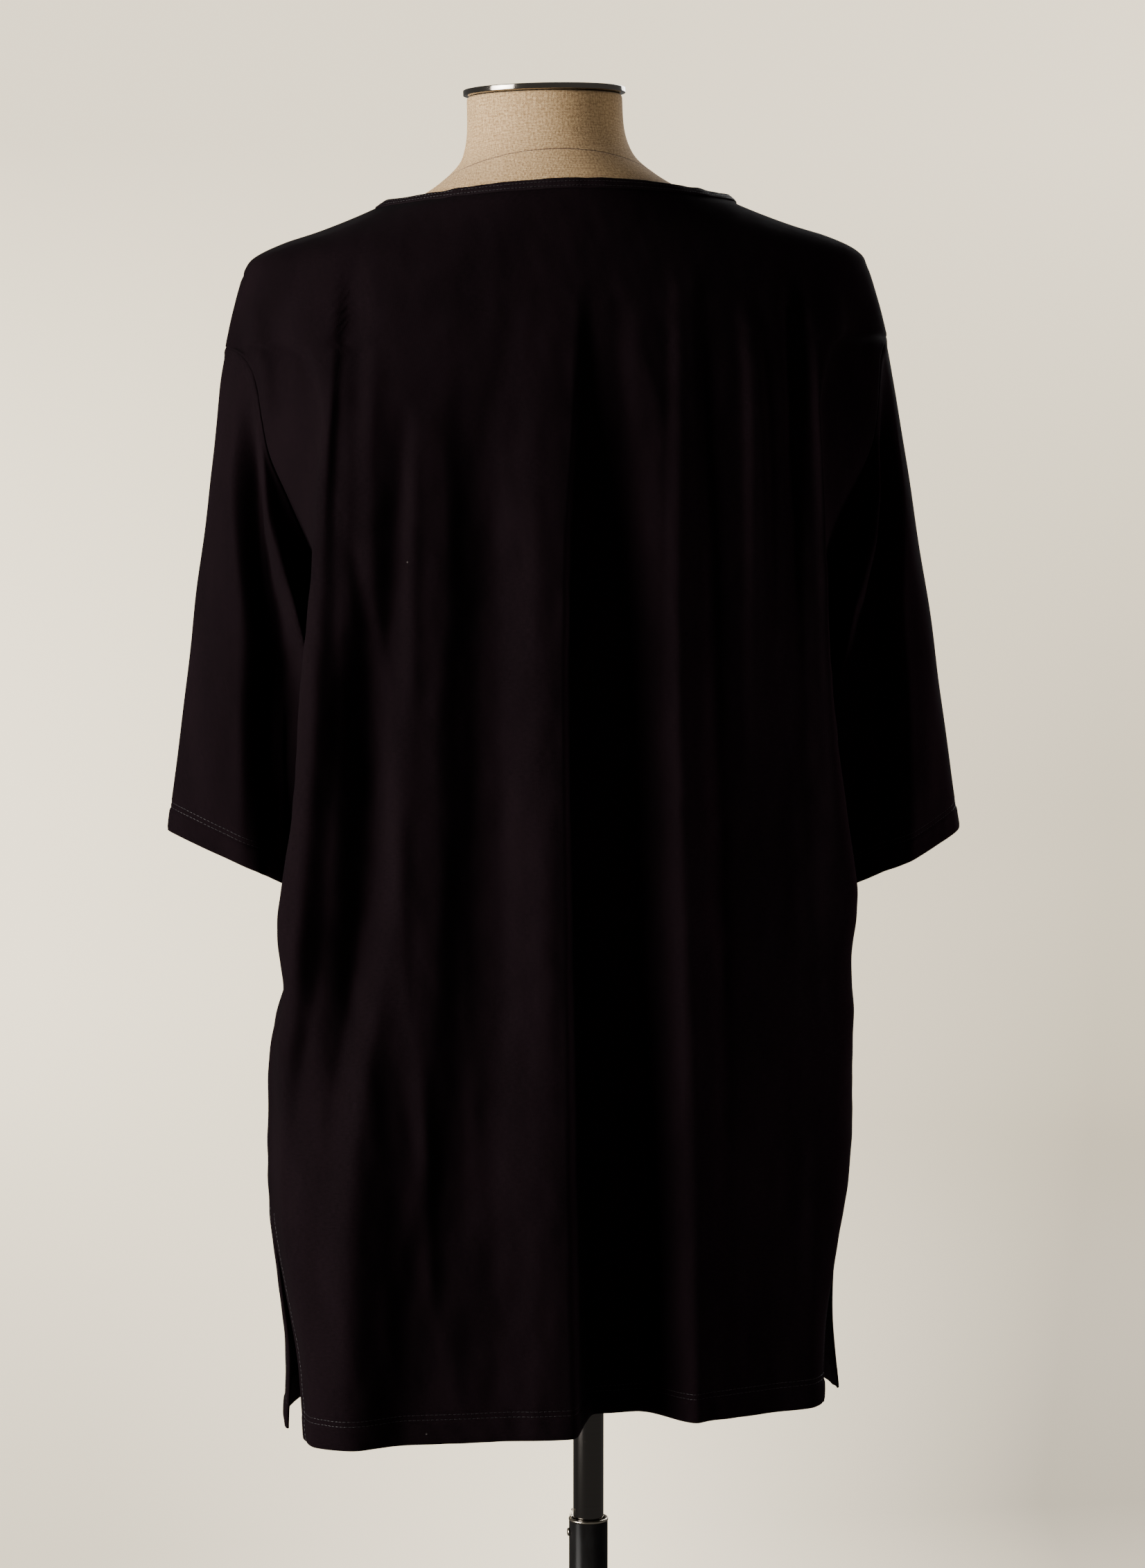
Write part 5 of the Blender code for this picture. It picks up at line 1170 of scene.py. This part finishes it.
def seamLoop():
    # Where the neck's base seam runs round the torso: its height falls towards the front.
    turn = np.linspace(0, 2 * math.pi, 400)
    z = np.full_like(turn, linen["seamZ"])
    for _ in range(12):
        point = leanOver(formPoint(z, turn, np.zeros_like(z)))
        z = z + (linen["seamZ"] + linen["seamSlope"] * (point[:, 1] - linen["seamY"]) - point[:, 2]) * 0.8
    inside = leanOver(formPoint(z, turn, np.full_like(z, 0.01)))
    return point, unit(point - inside)


linenThread = makeThread("linenThread", (0.30, 0.215, 0.135), (0.070, 0.036, 0.024), 0.8, 55.0)
seamPath, seamOut = seamLoop()
formSewing = joinRuns("formSeamStitches", [sewn(seamPath, seamOut, 401, pitch=0.0027, length=0.0014, wide=0.00036,
                                                tall=0.00024, lift=0.0)], linenThread)

cap = {"radius": 0.0570, "height": 0.0045, "gap": 0.0003, "lip": 0.0009, "dish": 0.0006}
capProfile = rounded([(0.0, 0.0), (0.0545, 0.0), (0.0560, 0.0003), (cap["radius"], 0.0006),
                      (cap["radius"], cap["height"] - 0.0003), (cap["radius"] - 0.0008, cap["height"]),
                      (cap["radius"] - 0.0030, cap["height"]), (cap["radius"] - 0.0042, cap["height"] - cap["dish"]),
                      (0.020, cap["height"] - cap["dish"] * 0.6),
                      (0.0, cap["height"] - cap["dish"] * 0.5)], 0.0004, 3)
capProfile = [(r, z + cap["gap"]) for r, z in capProfile]
neckTop = leanOver(formPoint(np.array([form["top"]] * 2), np.array([math.pi / 2, -math.pi / 2]), 0.0)).mean(axis=0)
neckCap = turned("neckCap", capProfile, capFinish, 160, tuple(neckTop), tunic["lean"])
print("form made")


# The stand.
stand = {
    "baseRadius": 0.190, "baseHeight": 0.008, "lowerRadius": 0.0140, "lowerBore": 0.0118, "lowerTop": 0.4715,
    "rimHeight": 0.0018, "upperRadius": 0.0110, "upperBore": 0.0095, "upperBottom": 0.250,
    "buttonZ": 0.4631, "flangeRadius": 0.050, "flangeHeight": 0.004, "bossRadius": 0.0160, "bossDeep": 0.045,
}
s = stand
flangeTop = form["bottom"] - 0.0003 - s["flangeRadius"] * math.sin(tunic["lean"])
flangeLow = flangeTop - s["flangeHeight"]
bossLow = flangeLow - s["bossDeep"]
bore = s["upperRadius"] + 0.0004
socket = turned("formSocket", rounded([
    (0.0, flangeLow), (bore, flangeLow), (bore, bossLow), (s["bossRadius"], bossLow),
    (s["bossRadius"], flangeLow), (s["flangeRadius"], flangeLow), (s["flangeRadius"], flangeTop), (0.0, flangeTop)],
    0.0012), tubeFinish, 96)
upperTop = form["bottom"] - 0.0016 - s["flangeHeight"] - 0.0003


def tube(name, outside, inside, low, high, finish, cut=0.0006):
    return turned(name, [(outside, low + cut), (outside, high - cut), (outside - cut, high), (inside + cut, high),
                         (inside, high - cut), (inside, low + cut), (inside + cut, low), (outside - cut, low)],
                  finish, 96)


upperTube = tube("upperTube", s["upperRadius"], s["upperBore"], s["upperBottom"], upperTop, tubeFinish, 0.0003)
lowerTube = tube("lowerTube", s["lowerRadius"], s["lowerBore"], s["baseHeight"] + 0.0003, s["lowerTop"],
                 paintFinish, 0.0003)
rimLow = s["lowerTop"] + 0.0002
rimRing = turned("rimRing", [
    (s["lowerRadius"] + 0.0003, rimLow + 0.0002), (s["lowerRadius"] + 0.0003, rimLow + s["rimHeight"] * 0.55),
    (s["lowerRadius"] - 0.0001, rimLow + s["rimHeight"] * 0.9), (s["lowerRadius"] - 0.0006, rimLow + s["rimHeight"]),
    (s["lowerBore"] + 0.0004, rimLow + s["rimHeight"]), (s["lowerBore"], rimLow + s["rimHeight"] * 0.7),
    (s["lowerBore"], rimLow), (s["lowerRadius"] + 0.0001, rimLow)], rimFinish, 96)


def makeButton():
    # A domed head turned about X: radius and reach follow a quarter ellipse.
    t = np.linspace(0, math.pi / 2, 8)
    dome = [(0.0029 * math.cos(a) ** 0.6, 0.0004 + 0.0010 * math.sin(a)) for a in t[1:-1]]
    made = turned("heightButton", [(0.0, 0.0), (0.0029, 0.0)] + dome + [(0.0, 0.0014)], rimFinish, 40)
    points = np.empty(len(made.data.vertices) * 3, dtype=np.float32)
    made.data.vertices.foreach_get("co", points)
    points = points.reshape(-1, 3)
    moved = np.stack([points[:, 2] + s["lowerRadius"] + 0.0002, points[:, 1], s["buttonZ"] - points[:, 0]], axis=-1)
    made.data.vertices.foreach_set("co", moved.ravel())
    made.data.update()
    return made


def makeClip():
    # Spring wire: a bent path, its points averaged with their neighbours, with a round section.
    foot = rimLow + s["rimHeight"]
    path = np.array([(0.0131, -0.0013, 0.0001), (0.0130, -0.0013, 0.0030), (0.0119, -0.0010, 0.0060),
                     (0.0119, 0.0, 0.0070), (0.0119, 0.0010, 0.0060), (0.0130, 0.0013, 0.0030),
                     (0.0131, 0.0013, 0.0001)])
    path[:, 2] += foot
    walked = runLengths(path, 0)
    fine = np.linspace(0, walked[-1], 61)
    line = onLine(fine, walked, path)
    for _ in range(14):
        line[1:-1] = (line[:-2] + 2 * line[1:-1] + line[2:]) / 4
    along = unit(np.gradient(line, axis=0))
    across = unit(np.cross(along, np.array([1.0, 0.0, 0.0])))
    upright = np.cross(across, along)
    turn = circle(12)
    ring = (line[:, None] + 0.00035 * (np.cos(turn)[None, :, None] * upright[:, None]
                                       + np.sin(turn)[None, :, None] * across[:, None]))
    rows, columns = ring.shape[:2]
    points = np.concatenate([ring.reshape(-1, 3), line[:1], line[-1:]])
    caps = endFans(rows, columns, rows * columns, rows * columns + 1)[:, ::-1]
    return fillMesh("springClip", points, [gridFaces(rows, columns, True, flip=True), caps], rimFinish)


button = makeButton()
clip = makeClip()
boss = s["lowerBore"] - 0.0004
basePlate = turned("basePlate", rounded([
    (0.0, 0.0), (s["baseRadius"] - 0.0006, 0.0), (s["baseRadius"], 0.0006),
    (s["baseRadius"], s["baseHeight"] - 0.0025), (s["baseRadius"] - 0.0025, s["baseHeight"]), (boss, s["baseHeight"]),
    (boss, s["baseHeight"] + 0.030), (0.0, s["baseHeight"] + 0.030)], 0.0008), paintFinish, 192)
print("stand made")


# What rides where.
links = [
    ("form", "back_panel", panels["back"]["piece"], "jersey"),
    ("form", "front_panel", panels["front"]["piece"], "jersey"),
    ("form", "sleeve_left", sleeveMade["left"]["piece"], "jersey"),
    ("form", "sleeve_right", sleeveMade["right"]["piece"], "jersey"),
    ("form", "neck_binding", collar["piece"], "jersey"), ("form", "form_torso", torso, "linen"),
    ("form", "form_neck_cap", neckCap, "bare_steel"), ("form", "form_socket", socket, "dark_steel"),
    ("form", "pole_upper", upperTube, "dark_steel"), ("stand", "pole_lower", lowerTube, "black_paint"),
    ("stand", "pole_rim", rimRing, "bare_steel"), ("stand", "height_button", button, "bare_steel"),
    ("stand", "spring_clip", clip, "bare_steel"), ("stand", "base_plate", basePlate, "black_paint"),
    ("form", None, panelSewing["back"], "jersey"), ("form", None, panelSewing["front"], "jersey"),
    ("form", None, sleeveSewing["left"], "jersey"), ("form", None, sleeveSewing["right"], "jersey"),
    ("form", None, bindingSewing, "jersey"), ("form", None, formSewing, "linen"),
]
for body, node, piece, slotName in links:
    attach(piece, body)
    if node:
        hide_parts(node)


# Stage, light and camera.
# Pairs are a slope and a start; the last of "window" and "other" is what the near floor takes away.
# These set the painted light on the paper: its emission colour and how its strength falls off across wall and floor.
stageSet = {
    "radius": 7.0, "curve": 2.2, "height": 8.0, "color": (0.42, 0.38, 0.32), "paintedLight": (1.0, 0.865, 0.63),
    "reach": (-0.16, 0.28), "leastReach": 0.55, "turned": -0.176, "behind": -0.6,
    "near": (0.19, 1.05), "highFrom": 0.45, "highOver": 1.5,
    "middle": (0.30, 1.85), "window": (-0.75, 0.75, 1.9), "other": (0.75, -0.60, 1.25),
}


def makeStage():
    # A pale floor that curves up into a round wall: a straight, a quarter circle and a straight, turned.
    r, c, h = stageSet["radius"], stageSet["curve"], stageSet["height"]
    a = np.linspace(0, math.pi / 2, 25)
    radii = np.concatenate([[0.001], np.linspace(0.4, r - c, 8), (r - c + c * np.sin(a))[1:], [r]])
    heights = np.concatenate([[0.0], np.zeros(8), (c - c * np.cos(a))[1:], [h]]) - 0.0002
    turn = circle(96)
    points = np.stack([radii[:, None] * np.cos(turn), radii[:, None] * np.sin(turn),
                       np.repeat(heights[:, None], 96, axis=1)], axis=-1).reshape(-1, 3)
    f = Finish("stagePaper", stageSet["color"], 0.95, specular=0.1)
    place, x, y, z = f.place()
    f.wire("Base Color", f.blendColor(f.noise(place, 0.6, 2.0), stageSet["color"],
                                      tuple(c * 0.985 for c in stageSet["color"])))
    # The paper's emission is painted light, since the paper is no lamp: it paints the window light falling on the
    # paper, strongest half way up on the window side and weakest over the near floor on the other side. near runs
    # from the wall's foot to the form, high from there up the wall. The window side is turned ten degrees from +x,
    # square to the main view. Before the form it is even.
    g = stageSet
    reach = f.math("MAXIMUM", f.math("MULTIPLY_ADD", y, *g["reach"]), g["leastReach"])
    toWindow = f.math("MULTIPLY_ADD", y, g["turned"], x)
    behind = f.clamp(f.math("MULTIPLY", y, g["behind"]), 0.0, 1.0)
    sideways = f.math("MULTIPLY", f.clamp(f.math("DIVIDE", toWindow, reach), -1.0, 1.0), behind)
    near = f.clamp(f.math("MULTIPLY_ADD", y, *g["near"]), 0.0, 1.0)
    high = f.clamp(f.math("DIVIDE", f.math("SUBTRACT", z, g["highFrom"]), g["highOver"]), 0.0, 1.0)
    windowSide = f.math("SUBTRACT", f.math("MULTIPLY_ADD", f.math("MULTIPLY", high, high), *g["window"][:2]),
                        f.math("MULTIPLY", near, g["window"][2]))
    otherSide = f.math("SUBTRACT", f.math("MULTIPLY_ADD", high, *g["other"][:2]),
                       f.math("MULTIPLY", near, g["other"][2]))
    middle = f.math("MULTIPLY_ADD", near, *g["middle"])
    windowPaintedLight = f.math("MULTIPLY", f.math("MAXIMUM", sideways, 0.0), windowSide)
    otherSidePaintedLight = f.math("MULTIPLY", f.math("MAXIMUM", f.math("MULTIPLY", sideways, -1.0), 0.0), otherSide)
    paintedLight = f.math("ADD", middle, f.math("ADD", windowPaintedLight, otherSidePaintedLight))
    # The emission colour and strength paint the studio light onto the paper.
    f.shader.inputs["Emission Color"].default_value = (*stageSet["paintedLight"], 1.0)
    f.wire("Emission Strength", paintedLight)
    floor = fillMesh("stageFloor", points, gridFaces(len(radii), 96, True)[:, ::-1], f.material)
    floor.visible_diffuse = False
    floor.visible_glossy = False


def areaLight(name, place, aim, size, power, color=(1.0, 1.0, 1.0), spreadTo=180.0, glossy=True):
    lamp = bpy.data.lights.new(name, "AREA")
    lamp.shape = "RECTANGLE"
    lamp.size, lamp.size_y = size
    lamp.energy = power
    lamp.spread = math.radians(spreadTo)
    lamp.color = color
    lamp.use_shadow = True
    holder = bpy.data.objects.new(name, lamp)
    holder.location = place
    holder.rotation_euler = (Vector(aim) - Vector(place)).to_track_quat("-Z", "Y").to_euler()
    holder.visible_camera = False
    holder.visible_glossy = glossy
    bpy.context.collection.objects.link(holder)


warm = (1.0, 0.975, 0.94)
lamps = {
    "keyLight": {"place": (2.71, 0.88, 1.35), "aim": (0.0, 0.0, 1.10), "size": (1.8, 2.2), "power": 47.0,
                 "color": warm, "spreadTo": 54.0},
    "fillLight": {"place": (-0.3, 3.6, 0.55), "aim": (0.04, 0.1, 0.88), "size": (1.6, 1.6), "power": 0.7,
                  "color": warm, "spreadTo": 26.0, "glossy": False},
    "rimLight": {"place": (-2.6, -0.15, 0.75), "aim": (-0.24, 0.0, 0.93), "size": (0.5, 0.6), "power": 2.6,
                 "color": warm, "spreadTo": 24.0, "glossy": False},
    "frontLight": {"place": (-1.8, -2.8, 2.4), "aim": (0.0, 0.0, 1.0), "size": (1.6, 1.6), "power": 60.0},
}
makeStage()
for lampName, lampSet in lamps.items():
    areaLight(lampName, **lampSet)

world = bpy.data.worlds.new("studioAir")
world.use_nodes = True
sky = world.node_tree.nodes["Background"]
sky.inputs["Color"].default_value = (1.0, 0.97, 0.93, 1.0)
sky.inputs["Strength"].default_value = 0.14
bpy.context.scene.world = world

cameraSet = {"place": (0.5067, 2.8077, 1.25), "turn": 10.0, "down": 4.932, "lens": 92.63}
lensData = bpy.data.cameras.new("camera")
lensData.sensor_fit = "VERTICAL"
lensData.sensor_height = 36.0
lensData.lens = cameraSet["lens"]
camera = bpy.data.objects.new("camera", lensData)
camera.location = cameraSet["place"]
turnBy, downBy = math.radians(cameraSet["turn"]), math.radians(cameraSet["down"])
looking = Vector((-math.sin(turnBy) * math.cos(downBy), -math.cos(turnBy) * math.cos(downBy), -math.sin(downBy)))
camera.rotation_euler = looking.to_track_quat("-Z", "Y").to_euler()
bpy.context.collection.objects.link(camera)
bpy.context.scene.camera = camera
print("stage, light and camera set")
